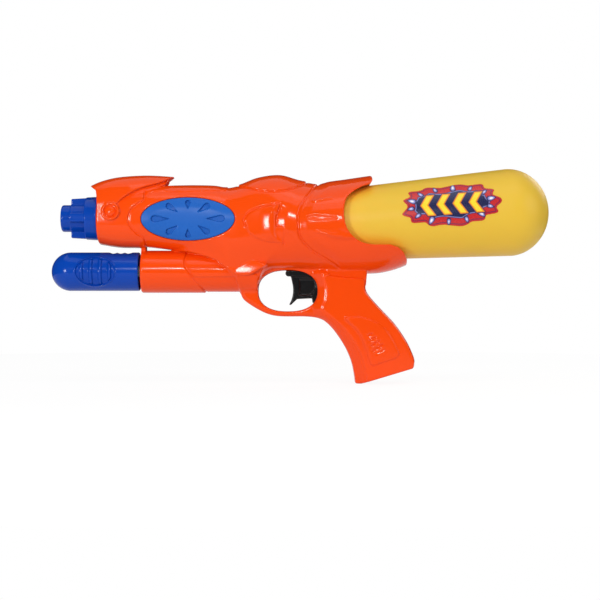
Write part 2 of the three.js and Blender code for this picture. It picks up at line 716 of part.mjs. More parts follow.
// Nozzle cap: skirt with four ribs in front, stepped tip, bored for the spigot
function nozzleCap() {
  const rear = muzzleX - fit;
  const front = rear - nozzleLength;
  const tip = front - nozzleTipLength;
  const bore = spigotRadius + run;
  const floor = muzzleX - spigotLength - run;
  const body = turned([
    [0, tip], [0.6 * nozzleTipRadius, tip], [0.88 * nozzleTipRadius, tip + 1], [nozzleTipRadius, tip + 3],
    [nozzleTipRadius, front], [nozzleFrontRadius - 0.8, front], [nozzleFrontRadius, front + 0.8],
    [nozzleRearRadius, rear], [0, rear],
  ], collarSides);
  const hollow = turned([
    [0, tip - 1], [jetRadius, tip - 1], [jetRadius, floor - nozzleWall], [4, floor - nozzleWall],
      [4, floor],
    [bore, floor], [bore, rear + 1], [0, rear + 1],
  ], innerSides);
  const half = nozzleRibWidth / 2;
  const [ribFront, ribRear] = [front - 1, front + nozzleRibLength];
  const between = cut(
    solid(pipeX(nozzleRearRadius + 1, nozzleCoreRadius, ribFront, ribRear)),
    block(ribFront, ribRear, -half, half, -farOut, farOut),
    block(ribFront, ribRear, -farOut, farOut, -half, half));
  return cut(solid(body), solid(hollow), between).translate([0, 0, boreZ]);
}

// Spigot in the muzzle, with the seal's groove outside and a hose stem behind
const nozzleGrooveX = muzzleX - 0.55 * spigotLength;
const nozzleSealMiddle = spigotRadius + run - fit - sealSection;
function nozzleSpigot() {
  const inner = muzzleX + wall + fit;
  const grooveHalf = sealSection + fit;
  const grooveRadius = nozzleSealMiddle - sealSection - fit;
  return solid(turned([
    [jetRadius, muzzleX - spigotLength], [spigotRadius, muzzleX - spigotLength],
    [spigotRadius, nozzleGrooveX - grooveHalf], [grooveRadius, nozzleGrooveX - grooveHalf],
    [grooveRadius, nozzleGrooveX + grooveHalf], [spigotRadius, nozzleGrooveX + grooveHalf],
    [spigotRadius, inner], [spigotRadius + spigotFlange, inner],
      [spigotRadius + spigotFlange, inner + wall - fit],
    [barbRadius, inner + wall - fit], [barbRadius, inner + wall + barbLength],
      [barbBore, inner + wall + barbLength],
    [barbBore, muzzleX + wall], [jetRadius, muzzleX + wall], [jetRadius, muzzleX - spigotLength],
  ], innerSides)).translate([0, 0, boreZ]);
}

function nozzleSeal() {
  const ring = ovalOutline(nozzleSealMiddle, nozzleGrooveX, [sealSection, sealSection], 2, 6);
  return solid(turnedRing(ring, innerSides)).translate([0, 0, boreZ]);
}

// Pump handle: a round-nosed sleeve open at the back, with a post for the rod
const handleRearX = pumpFrontX - handleGap;
const handleFrontX = handleRearX - handleLength;
function pumpHandle() {
  const nose = (r, tip) => [0.2, 0.45, 0.7, 0.88, 1].map((t) => {
    const angle = (t * Math.PI) / 2;
    return [r * Math.sin(angle), tip + r * (1 - Math.cos(angle))];
  });
  const innerRadius = handleRadius - handleWall;
  const postRear = handleFrontX + handleWall + handlePostLength;
  const boreRadius = rodRadius + fit;
  const boreEnd = postRear - rodEngagement - fit;
  const postFoot = handleFrontX + handleWall + 0.24 * innerRadius;
  const profile = [
    [0, handleFrontX], ...nose(handleRadius, handleFrontX), [handleRadius, handleRearX - 1],
      [handleRadius - 1, handleRearX],
    [innerRadius, handleRearX], ...nose(innerRadius, handleFrontX + handleWall).slice(3).reverse(),
    [handlePostRadius, postFoot], [handlePostRadius, postRear], [boreRadius, postRear],
      [boreRadius, boreEnd], [0, boreEnd],
  ];
  const middleX = handleFrontX + 0.52 * handleLength;
  const skin = (grow) => solid(rodX(handleRadius + grow, handleFrontX, handleRearX));
  const oval = (inset) => prism(ovalOutline(middleX, 0, gripOvalHalf.map((h) => h - inset), 2, innerSides),
    -farOut, farOut);
  const field = cut(oval(gripOvalRim), skin(-gripRecess));
  const ribs = Array.from({ length: gripRibCount }, (_, i) => {
    const x = middleX + (i - (gripRibCount - 1) / 2) * gripRibPitch;
    return common(block(x - gripRibWidth / 2, x + gripRibWidth / 2, -farOut, farOut, -farOut, farOut),
      cut(skin(0), skin(-gripRecess - 0.2)), oval(gripOvalRim + 0.4));
  });
  const scallops = Array.from({ length: scallopCount }, (_, i) => {
    const x = handleRearX - 9 - i * scallopPitch;
    return solid(rodY(x, handleRadius + scallopRadius - scallopDepth, scallopRadius, -farOut, farOut,
      innerSides));
  });
  const body = cut(solid(turned(profile)), field, ...scallops);
  return join(body, ...ribs).translate([0, 0, pumpZ]);
}

const pistonRearX = endCapX - endCapSpigot - pistonRearGap;
const pistonFrontX = pistonRearX - pistonLength;
const boreRadius = cylinderRadius - cylinderWall;
function pumpRod() {
  const front = handleFrontX + handleWall + handlePostLength - rodEngagement;
  const pegRadius = 0.6 * rodRadius;
  return solid(turned([
    [0, front], [rodRadius, front], [rodRadius, pistonFrontX - fit], [pegRadius, pistonFrontX - fit],
    [pegRadius, pistonRearX - fit], [0, pistonRearX - fit],
  ], innerSides)).translate([0, 0, pumpZ]);
}

function piston() {
  const radius = boreRadius - run;
  const middle = (pistonFrontX + pistonRearX) / 2;
  const half = pistonSealWidth / 2 + fit;
  const floor = radius - pistonSealDepth;
  const hole = 0.6 * rodRadius + fit;
  return solid(turnedRing([
    [hole, pistonFrontX], [radius, pistonFrontX], [radius, middle - half], [floor, middle - half],
      [floor, middle + half],
    [radius, middle + half], [radius, pistonRearX], [hole, pistonRearX],
  ], innerSides)).translate([0, 0, pumpZ]);
}

function pistonSeal() {
  const middle = (pistonFrontX + pistonRearX) / 2;
  const half = pistonSealWidth / 2;
  const inner = boreRadius - run - pistonSealDepth + fit;
  return solid(turnedRing([
    [inner, middle - half], [boreRadius - fit, middle - half], [boreRadius - fit, middle + half],
      [inner, middle + half],
  ], innerSides)).translate([0, 0, pumpZ]);
}

function pumpCylinder() {
  const rear = cylinderFrontX + cylinderLength;
  return solid(pipeX(cylinderRadius, boreRadius, cylinderFrontX, rear, innerSides)).translate([0, 0,
    pumpZ]);
}

function pumpGland() {
  const hole = rodRadius + run;
  const flangeFront = cylinderFrontX - fit - glandFlange;
  return solid(turnedRing([
    [hole, flangeFront], [cylinderRadius, flangeFront], [cylinderRadius, cylinderFrontX - fit],
    [boreRadius - fit, cylinderFrontX - fit], [boreRadius - fit, cylinderFrontX + glandLength],
    [hole, cylinderFrontX + glandLength],
  ], innerSides)).translate([0, 0, pumpZ]);
}

// Closed end of the pump with a hose stem on top and a seat for the flap valve
const valveRadius = 5;
const valveThickness = 1;
function cylinderEndCap() {
  const plug = turned([
    [0, endCapX - endCapSpigot], [boreRadius - fit, endCapX - endCapSpigot], [boreRadius - fit, endCapX],
    [cylinderRadius, endCapX], [cylinderRadius, endCapX + endCapLength], [0, endCapX + endCapLength],
  ], innerSides);
  const seat = rodX(valveRadius + fit, endCapX - endCapSpigot - 1,
    endCapX - endCapSpigot + valveThickness + fit, smallSides);
  const port = rodX(1.2, endCapX - endCapSpigot - 1, hoseHoleX, smallSides);
  const stemTop = capTopZ - pumpZ + barbLength;
  const stem = rodZ(hoseHoleX, barbSpread, barbRadius, 0, stemTop);
  const bore = rodZ(hoseHoleX, barbSpread, barbBore, 0, stemTop + 1);
  const cross = rodY(hoseHoleX, 0, barbBore, 0, barbSpread);
  return cut(join(solid(plug), solid(stem)), solid(seat), solid(port), solid(bore),
    solid(cross)).translate([0, 0, pumpZ]);
}

function checkValve() {
  const rear = endCapX - endCapSpigot + valveThickness;
  return solid(rodX(valveRadius, rear - valveThickness, rear, smallSides)).translate([0, 0, pumpZ]);
}

function triggerPiece() {
  const face = flow([[2.5, 11.1], [4.1, 3], [3.7, -3], [1.7, -10.4]], 2);
  const blade = [...face, [2.9, -10.6], [5.9, -6.6], [19.3, -6], [19.7, -9.6], [21.7, -9.9], [25, -7],
    [27, 4], [26, 16],
    [12, 20], [-3, 20], [-1, 15]];
  const nub = ovalOutline(0.4, 13.9, [2.3, 2.3], 2, innerSides);
  const bar = [[0.4, 11.6], [17, 11], [20, 14.6], [20, 16.2], [0.4, 16.2]];
  const arm = [[-3, 3], [-9, 7.6], [pinchX, pinchZ - 4], [pinchX, armZ], [-9, armZ], [-4, 0]];
  const pinchBar = [[3, -4.4], [1.2, 0], [-1.2, 0], [-2.8, -4], [-2, armZ - pinchZ], [2.4, armZ - pinchZ]];
  const half = triggerWidth / 2;
  const wide = triggerFlangeWidth / 2;
  const body = join(
    prism(moved(blade, guardX, guardZ), -half, half),
    prism(moved(nub, guardX, guardZ), -wide, wide),
    prism(moved(bar, guardX, guardZ), -wide, wide),
    prism(moved(arm, ...pivot), -wide, wide),
    prism(moved(pinchBar, pivot[0] + pinchX, pivot[1] + pinchZ), -pinchBarReach, wide),
    solid(rodY(pivot[0], pivot[1], pivotHubRadius, -wide, wide, innerSides)));
  return cut(body, solid(rodY(pivot[0], pivot[1], pinRadius + fit, -farOut, farOut)));
}

function triggerPin() {
  return solid(rodY(pivot[0], pivot[1], pinRadius, -pinLength / 2, pinLength / 2));
}

// Return spring under the trigger's arm
class Helix extends THREE.Curve {
  getPoint(t, target = new THREE.Vector3()) {
    const top = pivot[1] + armZ - fit - springWire;
    const bottom = springFloorZ + fit + springWire;
    const angle = 2 * Math.PI * springTurns * t;
    return target.set(
      pivot[0] + springX + springCoilRadius * Math.cos(angle),
      springCoilRadius * Math.sin(angle),
      bottom + (top - bottom) * t);
  }
}

function triggerSpring() {
  const shape = new THREE.Shape(ovalOutline(0, 0, [springWire, springWire], 2,
    4).map(([x, y]) => new THREE.Vector2(x, y)));
  return solid(new THREE.ExtrudeGeometry(shape, { steps: springSteps * springTurns,
    extrudePath: new Helix() }));
}

// Tank and what sits on its axis, all in the tank's frame
function tank() {
  const outer = tankProfile(0);
  const inner = tankProfile(tankWall);
  const beadRadius = neckRadius + neckBead;
  const beadU = cupFrontU + run;
  const neck = [[beadRadius, neckLength], [beadRadius, beadU], [neckRadius, beadU], [neckRadius, 0]];
  return solid(turned([
    [0, tankLength], ...outer.reverse(), ...neck, [neckRadius - tankWall, 0], ...inner,
      [0, tankLength - tankWall],
  ], collarSides));
}

const washerU = -fit - washerThickness;
const socketFloorU = washerU - fit;
const connectorFrontU = socketFloorU - connectorBase;
function tankConnector() {
  const body = turnedRing([
    [0, connectorFrontU], [connectorRadius, connectorFrontU], [connectorRadius, flangeU],
      [connectorFlange, flangeU],
    [connectorFlange, flangeU + connectorFlangeThickness],
      [connectorRadius, flangeU + connectorFlangeThickness],
    [connectorRadius, cupFrontU], [neckRadius + run, cupFrontU], [neckRadius + run, socketFloorU],
      [0, socketFloorU],
  ], collarSides);
  const stems = [-1, 1].map((side) =>
    solid(rodX(barbRadius, connectorFrontU - barbLength, connectorFrontU + 1, smallSides).translate(0,
      side * barbSpread, 0)));
  const pick = solid(rodX(dipBore - fit, connectorFrontU + 1, socketFloorU + 6, smallSides).translate(0,
    -dipOffset, 0));
  const passage = (y, u1, r) => solid(rodX(r, connectorFrontU - barbLength - 1, u1,
    smallSides).translate(0, y, 0));
  return cut(
    join(solid(body), ...stems, pick),
    passage(-barbSpread, socketFloorU - 1.2, barbBore), passage(barbSpread, socketFloorU + 1, barbBore),
    solid(rodX(barbBore, socketFloorU - 2.2, socketFloorU + 7, smallSides).translate(0, -dipOffset, 0)));
}

const dipOffset = 4;
const dipRadius = 2.7;
const dipBore = 1.9;
function dipTube() {
  const reach = shoulderRadius - 9;
  return hose([
    [socketFloorU + fit, -dipOffset, 0], [neckLength + 6, -dipOffset, 0], [shoulderU, -dipOffset, -2],
    [shoulderU + 12, -dipOffset, -8], [shoulderU + 24, -dipOffset, -reach],
  ], dipRadius, dipBore, 7);
}

function tankWasher() {
  return solid(pipeX(neckRadius - fit, washerBore, washerU, washerU + washerThickness, innerSides));
}

function waterHose() {
  const stemU = connectorFrontU - fit;
  const start = tankPoint(stemU, -barbSpread, 0);
  const end = [muzzleX + 2 * wall + 2 * fit, 0, boreZ];
  const pinch = [pivot[0] + pinchX, -barbSpread, pinchHoseZ];
  const along = (share, rise) => [
    pinch[0] + share * (end[0] - pinch[0]), -barbSpread * (1 - rise),
      pinchHoseZ + rise * (boreZ - pinchHoseZ),
  ];
  return hose([
    start, tankPoint(stemU - 7, -barbSpread, 0), tankPoint(stemU - 13, -barbSpread, 0.2),
    [pinch[0] + 6, -barbSpread, pinchHoseZ + 2], pinch,
    [pinch[0] - 7, -barbSpread, pinchHoseZ + 1.2], along(0.2, 0.5), along(0.4, 0.9), along(0.65, 1),
    [end[0] + 14, 0, boreZ], end,
  ], hoseRadius, hoseBore, 20);
}

function airHose() {
  const start = [hoseHoleX, barbSpread, capTopZ + fit + 1.4];
  const end = tankPoint(connectorFrontU - fit, barbSpread, 0);
  const clearY = triggerFlangeWidth / 2 + 2 * run + hoseRadius;
  return hose([
    start, [start[0], barbSpread, start[2] + 4.5], [start[0], barbSpread, start[2] + 9],
    [start[0] + 6, clearY - 1, end[2] - 3], [start[0] + 14, clearY, end[2] - 0.8],
    tankPoint(connectorFrontU - 10, barbSpread, 0), tankPoint(connectorFrontU - 5, barbSpread, 0), end,
  ], hoseRadius, hoseBore, 12);
}

function screw([x, z]) {
  const points = [
    [0, screwEndY], [screwRadius, screwEndY + 2 * screwRadius], [screwRadius, screwSeatY + fit],
    [screwHeadRadius, screwSeatY + fit], [screwHeadRadius, screwSeatY + fit + 0.5 * screwHeadHeight],
    [0, screwSeatY + fit + screwHeadHeight],
  ].map(([r, y]) => new THREE.Vector2(r, y));
  return solid(new THREE.LatheGeometry(points, smallSides).translate(x, 0, z));
}

// Scene graph
const finish = (color, roughness, metalness = 0) =>
  new THREE.MeshStandardMaterial({ color, roughness, metalness });
const orangePlastic = finish("#ee4a1e", 0.3);
const bluePlastic = finish("#1b4cae", 0.3);
const yellowPlastic = finish("#e6bd4f", 0.45);
const blackPlastic = finish("#222225", 0.4);
const whitePlastic = finish("#e9e7e0", 0.45);
const clearHose = finish("#d9e2e4", 0.35);
const rubber = finish("#2b2b2b", 0.8);
const steel = finish("#b9bcc0", 0.35, 1);

function mesh(name, body, material) {
  const { numProp, vertProperties, triVerts } = body.getMesh();
  const geometry = new THREE.BufferGeometry();
  const positions = [];
  for (let i = 0; i < vertProperties.length; i += numProp) positions.push(...vertProperties.subarray(i,
    i + 3));
  geometry.setAttribute("position", new THREE.Float32BufferAttribute(positions, 3));
  geometry.setIndex([...triVerts]);
  geometry.computeVertexNormals();
  const made = new THREE.Mesh(geometry, material);
  made.name = name;
  return made;
}

const squirter = new THREE.Group();
const shells = housing();
squirter.add(
  mesh("left_housing", shells.left, orangePlastic),
  mesh("right_housing", shells.right, orangePlastic),
  mesh("left_oval_panel", sidePanel(-1), bluePlastic),
  mesh("right_oval_panel", sidePanel(1), bluePlastic),
  mesh("nozzle_cap", nozzleCap(), bluePlastic),
  mesh("nozzle_spigot", nozzleSpigot(), whitePlastic),
  mesh("nozzle_seal", nozzleSeal(), rubber),
  mesh("pump_handle", pumpHandle(), bluePlastic),
  mesh("pump_rod", pumpRod(), whitePlastic),
  mesh("pump_piston", piston(), whitePlastic),
  mesh("piston_seal", pistonSeal(), rubber),
  mesh("pump_cylinder", pumpCylinder(), whitePlastic),
  mesh("pump_gland", pumpGland(), whitePlastic),
  mesh("cylinder_end_cap", cylinderEndCap(), whitePlastic),
  mesh("check_valve", checkValve(), rubber),
  mesh("trigger", triggerPiece(), blackPlastic),
  mesh("trigger_pin", triggerPin(), steel),
  mesh("trigger_spring", triggerSpring(), steel),
  mesh("water_hose", waterHose(), clearHose),
  mesh("air_hose", airHose(), clearHose),
);
screwSpots.forEach((spot, i) => squirter.add(mesh(`housing_screw_${i + 1}`, screw(spot), steel)));

const tankGroup = new THREE.Group();
tankGroup.position.set(neckX, 0, neckZ);
tankGroup.rotation.y = -tankTilt * degrees;
tankGroup.add(
  mesh("tank", tank(), yellowPlastic),
  mesh("tank_washer", tankWasher(), rubber),
  mesh("tank_connector", tankConnector(), whitePlastic),
  mesh("dip_tube", dipTube(), clearHose),
);
squirter.add(tankGroup);

export default squirter;
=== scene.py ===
"""Looks of a pump-up water squirter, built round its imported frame.

The moulded pieces are skinned from distance fields worked out in millimetres, so that every edge keeps a
small radius. Their meshes are in metres, in the frame's own axes.
"""

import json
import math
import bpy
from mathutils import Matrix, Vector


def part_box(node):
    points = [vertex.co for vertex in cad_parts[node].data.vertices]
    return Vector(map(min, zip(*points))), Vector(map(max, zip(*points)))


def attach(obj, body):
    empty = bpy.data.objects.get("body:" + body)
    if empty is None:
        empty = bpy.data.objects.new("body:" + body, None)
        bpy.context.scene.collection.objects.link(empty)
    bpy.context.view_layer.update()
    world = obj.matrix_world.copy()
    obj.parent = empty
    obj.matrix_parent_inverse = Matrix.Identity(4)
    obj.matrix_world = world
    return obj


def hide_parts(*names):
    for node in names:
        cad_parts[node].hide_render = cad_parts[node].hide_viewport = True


bl_info = {
    "name": "Water Squirter",
    "version": (1, 0, 0),
    "blender": (4, 5, 0),
    "location": "3D View > Sidebar > Squirter",
    "description": "Dresses the squirter's frame with moulded shells, a blown tank, a sticker and a studio",
    "category": "Object",
}

from contextlib import contextmanager

import bmesh
import bpy
import numpy as np
from bpy.props import FloatProperty, FloatVectorProperty, PointerProperty
from mathutils import Vector

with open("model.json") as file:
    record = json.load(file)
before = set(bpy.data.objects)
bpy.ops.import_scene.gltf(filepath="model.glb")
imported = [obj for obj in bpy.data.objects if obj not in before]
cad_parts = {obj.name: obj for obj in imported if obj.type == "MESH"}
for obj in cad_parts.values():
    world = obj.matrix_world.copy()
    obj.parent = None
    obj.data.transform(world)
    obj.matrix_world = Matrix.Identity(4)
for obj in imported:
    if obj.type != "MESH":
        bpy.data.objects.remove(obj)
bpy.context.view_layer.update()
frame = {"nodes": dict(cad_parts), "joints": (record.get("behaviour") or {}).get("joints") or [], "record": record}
MM = 0.001


def mm_box(node):
    """Lowest and highest corner of a node, in millimetres."""
    return [np.array(corner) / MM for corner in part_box(node)]


def joint(name):
    """The frame's joint of that name."""
    return next(j for j in frame["joints"] if j["name"] == name)


def linear(code):
    """Linear colour of an sRGB hex value."""
    shares = [int(code[i : i + 2], 16) / 255 for i in (1, 3, 5)]
    return [s / 12.92 if s <= 0.04045 else ((s + 0.055) / 1.055) ** 2.4 for s in shares]


# Clearance of what moves or is put in, and margin round a skin's grid, in millimetres
FIT, MARGIN = 0.3, 2
# Places taken from the frame, in millimetres
CAP_LOW, CAP_HIGH = mm_box("nozzle_cap")
MUZZLE_X = CAP_HIGH[0] + FIT
BORE_Z = (CAP_LOW[2] + CAP_HIGH[2]) / 2
GLAND_LOW, GLAND_HIGH = mm_box("pump_gland")
PUMP_X = GLAND_LOW[0]
PUMP_Z = (GLAND_LOW[2] + GLAND_HIGH[2]) / 2
PUMP_BORE = GLAND_HIGH[1] + FIT
HANDLE_LOW, HANDLE_HIGH = mm_box("pump_handle")
PIVOT_X, _, PIVOT_Z = np.array(joint("trigger_pull")["pos_m"]) / MM
GUARD_TO_PIVOT = (0.7, 23.1)
GUARD_X, GUARD_Z = PIVOT_X - GUARD_TO_PIVOT[0], PIVOT_Z - GUARD_TO_PIVOT[1]
NECK_X, _, NECK_Z = np.array(joint("tank_unscrew")["pos_m"]) / MM
AXIS_X, _, AXIS_Z = joint("tank_unscrew")["axis"]
BASE = frame["record"]["mounts"][0]
SCREWS = [f"housing_screw_{i}" for i in range(1, 8)]


# Settings


def length(name, about, default):
    """A setting of a length, given in millimetres."""
    return FloatProperty(name=name, description=about, default=default * MM, unit="LENGTH")


def colour(name, about, code):
    """A setting of a colour, given as an sRGB hex value."""
    return FloatVectorProperty(name=name, description=about, default=linear(code), subtype="COLOR")


class SquirterShape(bpy.types.PropertyGroup):
    """Sizes of the moulded forms"""

    step: length("Skin step", "Spacing of the housing's skin", 0.78)
    fine: length("Fine step", "Spacing of small skins", 0.4)
    seam: length("Seam", "Gap between the housing halves", 0.05)
    groove: length("Groove", "Depth of the seam's groove", 0.25)
    sleeve: length("Sleeve", "Height of the raised nose", 1.0)
    leaf: length("Leaf", "Height of the leaf pads", 0.7)
    overhang: length("Overhang", "Crest past the barrel", 1.4)
    proud: length("Panel", "Oval panel above the barrel", 0.9)
    pocket: length("Pocket", "Depth of the panel's recess", 2.8)
    petal: length("Petal", "Depth of the petals", 2.0)
    cup: length("Cup", "Gap from the tank to its collar", 0.4)
    tank: length("Tank wall", "Wall of the blown tank", 1.7)
    sticker: length("Sticker", "Thickness of the sticker", 0.15)


class SquirterColours(bpy.types.PropertyGroup):
    """Colours of the plastics"""

    orange: colour("Orange", "Housing", "#F24A08")
    blue: colour("Blue", "Pump and nozzle", "#0641A8")
    panel: colour("Panel", "Oval panels", "#2161B9")
    yellow: colour("Yellow", "Tank", "#E8BD38")
    black: colour("Black", "Trigger", "#0D0D0F")
    natural: colour("Natural", "Unpigmented works", "#E4E2DA")
    vinyl: colour("Vinyl", "Hoses and dip tube", "#D6DEDF")
    rubber: colour("Rubber", "Seals", "#242424")


# Outlines and distance fields

TABLE_STEP, MAP_STEP = 0.2, 0.4


def table(points):
    """Reader of smooth values through a list of (x, value), level beyond its ends."""
    xs, ys = np.array(points, float).T
    slopes = np.empty_like(ys)
    slopes[1:-1] = (ys[2:] - ys[:-2]) / (xs[2:] - xs[:-2])
    slopes[[0, -1]] = (np.diff(ys) / np.diff(xs))[[0, -1]]
    x = np.arange(xs[0], xs[-1] + TABLE_STEP, TABLE_STEP)
    i = np.clip(np.searchsorted(xs, x, "right") - 1, 0, len(xs) - 2)
    span = xs[i + 1] - xs[i]
    t = np.clip((x - xs[i]) / span, 0, 1)
    start = (1 + 2 * t) * (1 - t) ** 2 * ys[i] + t * (1 - t) ** 2 * span * slopes[i]
    values = start + t * t * (3 - 2 * t) * ys[i + 1] + t * t * (t - 1) * span * slopes[i + 1]
    return lambda at: np.interp(at, x, values)


def ramp(x, low, high):
    """Smooth rise from 0 at low to 1 at high."""
    t = np.clip((x - low) / (high - low), 0, 1)
    return t * t * (3 - 2 * t)


def curve(points, steps=8):
    """Points along a smooth open curve through the given ones."""
    p = np.array(points, float)
    m = np.gradient(p, axis=0)
    t = np.linspace(0, 1, steps, endpoint=False)[:, None]
    rise = t * t * (3 - 2 * t)
    spans = [
        (1 - rise) * p[i] + rise * p[i + 1] + t * (1 - t) ** 2 * m[i] - t * t * (1 - t) * m[i + 1]
        for i in range(len(p) - 1)
    ]
    return [*np.concatenate(spans).tolist(), p[-1].tolist()]


def loop(points, steps=8):
    """Points along a smooth closed curve through the given ones."""
    around = curve([*points[-2:], *points, *points[:2]], steps)
    return around[2 * steps : -steps - 1]


def moved(points, x, z):
    """Points of a side outline, shifted."""
    return [(px + x, pz + z) for px, pz in points]


def on_tank(points):
    """From distances along and across the tank's axis."""
    return [(NECK_X + u * AXIS_X - w * AXIS_Z, NECK_Z + u * AXIS_Z + w * AXIS_X) for u, w in points]


def outline_distance(points, x, z):
    """Distance to a closed outline, negative inside."""
    nearest = np.full(x.shape, np.inf)
    inside = np.zeros(x.shape, bool)
    for (ax, az), (bx, bz) in zip(points, np.roll(points, -1, 0)):
        ex, ez = bx - ax, bz - az
        t = np.clip(((x - ax) * ex + (z - az) * ez) / (ex * ex + ez * ez + 1e-12), 0, 1)
        nearest = np.minimum(nearest, (x - ax - ex * t) ** 2 + (z - az - ez * t) ** 2)
        inside ^= ((az > z) != (bz > z)) & (x < ax + ex * (z - az) / (ez if ez else 1))
    return np.where(inside, -1, 1) * np.sqrt(nearest)


def side_map(outline, reach=4.0, soften=1):
    """Reader of the distance to a side outline, worked out once on a grid and softened at its corners."""
    points = np.array(outline, float)
    low = points.min(0) - reach
    counts = np.ceil((points.max(0) + reach - low) / MAP_STEP).astype(int) + 2
    axes = [low[i] + MAP_STEP * np.arange(counts[i]) for i in (0, 1)]
    grid = outline_distance(points, *np.meshgrid(*axes, indexing="ij"))
    for _ in range(soften):
        grid[1:-1] = (grid[:-2] + 2 * grid[1:-1] + grid[2:]) / 4
        grid[:, 1:-1] = (grid[:, :-2] + 2 * grid[:, 1:-1] + grid[:, 2:]) / 4

    def read(x, z):
        i, k = (x - low[0]) / MAP_STEP, (z - low[1]) / MAP_STEP
        at = (i > 0) & (k > 0) & (i < counts[0] - 1) & (k < counts[1] - 1)
        i, k = i[at], k[at]
        i0, k0 = i.astype(np.int32), k.astype(np.int32)
        i, k = i - i0, k - k0
        near = grid[i0, k0] * (1 - k) + grid[i0, k0 + 1] * k
        far = grid[i0 + 1, k0] * (1 - k) + grid[i0 + 1, k0 + 1] * k
        found = np.full(x.shape, float(reach))
        found[at] = near * (1 - i) + far * i
        return found

    return read


def raised(distance, height, edge=0.9):
    """Height inside an outline, with a rounded edge."""
    return height * ramp(-distance, -edge / 2, edge / 2)


def scored(distance, depth, width=1.0):
    """Depth of a groove along an outline."""
    return depth * ramp(-np.abs(distance), -width / 2 - 0.3, -width / 2 + 0.3)


def united(a, b, radius):
    """Union of two fields with a fillet."""
    h = np.maximum(radius - np.abs(a - b), 0) / radius
    return np.minimum(a, b) - h * h * radius / 4


def shared(a, b, radius):
    """Common part of two fields with a rounded edge."""
    return -united(-a, -b, radius)


def carved(a, tool, radius):
    """First field without the tool, with a rounded edge."""
    return shared(a, -tool, radius)


def extruded(distance, y, half, rounding):
    """A side outline extruded both ways, with rounded edges."""
    a, b = distance + rounding, np.abs(y) - half + rounding
    return np.hypot(np.maximum(a, 0), np.maximum(b, 0)) + np.minimum(np.maximum(a, b), 0) - rounding


def squared(a, b, half_a, half_b, power):
    """Distance to a superellipse of two half widths, about its middle."""
    a, b = np.abs(a) / half_a, np.abs(b) / half_b
    g = np.maximum((a**power + b**power) ** (1 / power), 1e-3)
    slope = g ** (1 - power) * np.hypot(a ** (power - 1) / half_a, b ** (power - 1) / half_b)
    return (g - 1) / np.maximum(slope, 1e-3)


# Skins

BLOCK, NEAR_BLOCKS = 4, 1.4
SLOPE_REACH, SLOPE_LEAST = 0.1, 0.05
SETTLE_ROUNDS, UNTANGLE_ROUNDS = 3, 12
CORNERS = [(i, j, k) for i in (0, 1) for j in (0, 1) for k in (0, 1)]


def sampled(field, axes):
    """Field on a grid, worked out only in the blocks near its surface; elsewhere only its sign is right."""
    step = axes[0][1] - axes[0][0]
    coarse = field(*np.meshgrid(*(a[::BLOCK] for a in axes), indexing="ij"))
    shape = [len(a) for a in axes]
    spread = np.ones((BLOCK, BLOCK, BLOCK))
    values = np.full(shape, 1.0)
    values[:-1, :-1, :-1] = np.kron(np.sign(coarse[:-1, :-1, :-1]), spread)
    near = np.abs(coarse) < NEAR_BLOCKS * BLOCK * step
    live = np.zeros([n - 1 for n in near.shape], bool)
    for corner in CORNERS:
        live |= near[tuple(slice(c, n - 1 + c) for c, n in zip(corner, near.shape))]
    cells = np.kron(live, spread).astype(bool)
    nodes = np.zeros(shape, bool)
    for corner in CORNERS:
        nodes[tuple(slice(c, n - 1 + c) for c, n in zip(corner, shape))] |= cells
    at = np.nonzero(nodes)
    values[at] = field(*(a[i] for a, i in zip(axes, at)))
    return values


def slope_of(field, points):
    """Values of a field at points, and its slope there."""
    value = field(*points.T)
    ahead = [field(*(points + SLOPE_REACH * axis).T) for axis in np.eye(3)]
    return value, (np.stack(ahead, 1) - value[:, None]) / SLOPE_REACH


def settled(field, points, step):
    """Points moved along the field's slope onto its surface."""
    for _ in range(SETTLE_ROUNDS):
        value, slope = slope_of(field, points)
        move = value / np.maximum((slope**2).sum(1), SLOPE_LEAST)
        points = points - np.clip(move, -step / 2, step / 2)[:, None] * slope
    return points


def grid_axes(low, high, step):
    """Coordinates of a grid of whole blocks over a box."""
    counts = np.ceil((np.array(high) - low) / (step * BLOCK)).astype(int) * BLOCK + 1
    return [low[i] + step * np.arange(counts[i]) for i in range(3)]


def untangled(values):
    """Fills the weaker outside corner of grid faces whose inside corners meet only across a diagonal."""
    for _ in range(UNTANGLE_ROUNDS):
        for first, second in ((0, 1), (0, 2), (1, 2)):
            view = np.moveaxis(values, (first, second), (0, 1))
            inside = view < 0
            cross = (inside[:-1, :-1] == inside[1:, 1:]) & (inside[1:, :-1] == inside[:-1, 1:])
            cross &= inside[:-1, :-1] != inside[1:, :-1]
            for i, j, k in zip(*np.nonzero(cross)):
                corners = [(i, j, k), (i + 1, j, k), (i + 1, j + 1, k), (i, j + 1, k)]
                weakest = min((c for c in corners if view[c] >= 0), key=lambda c: view[c], default=None)
                if weakest:
                    view[weakest] = -1e-3
    return values


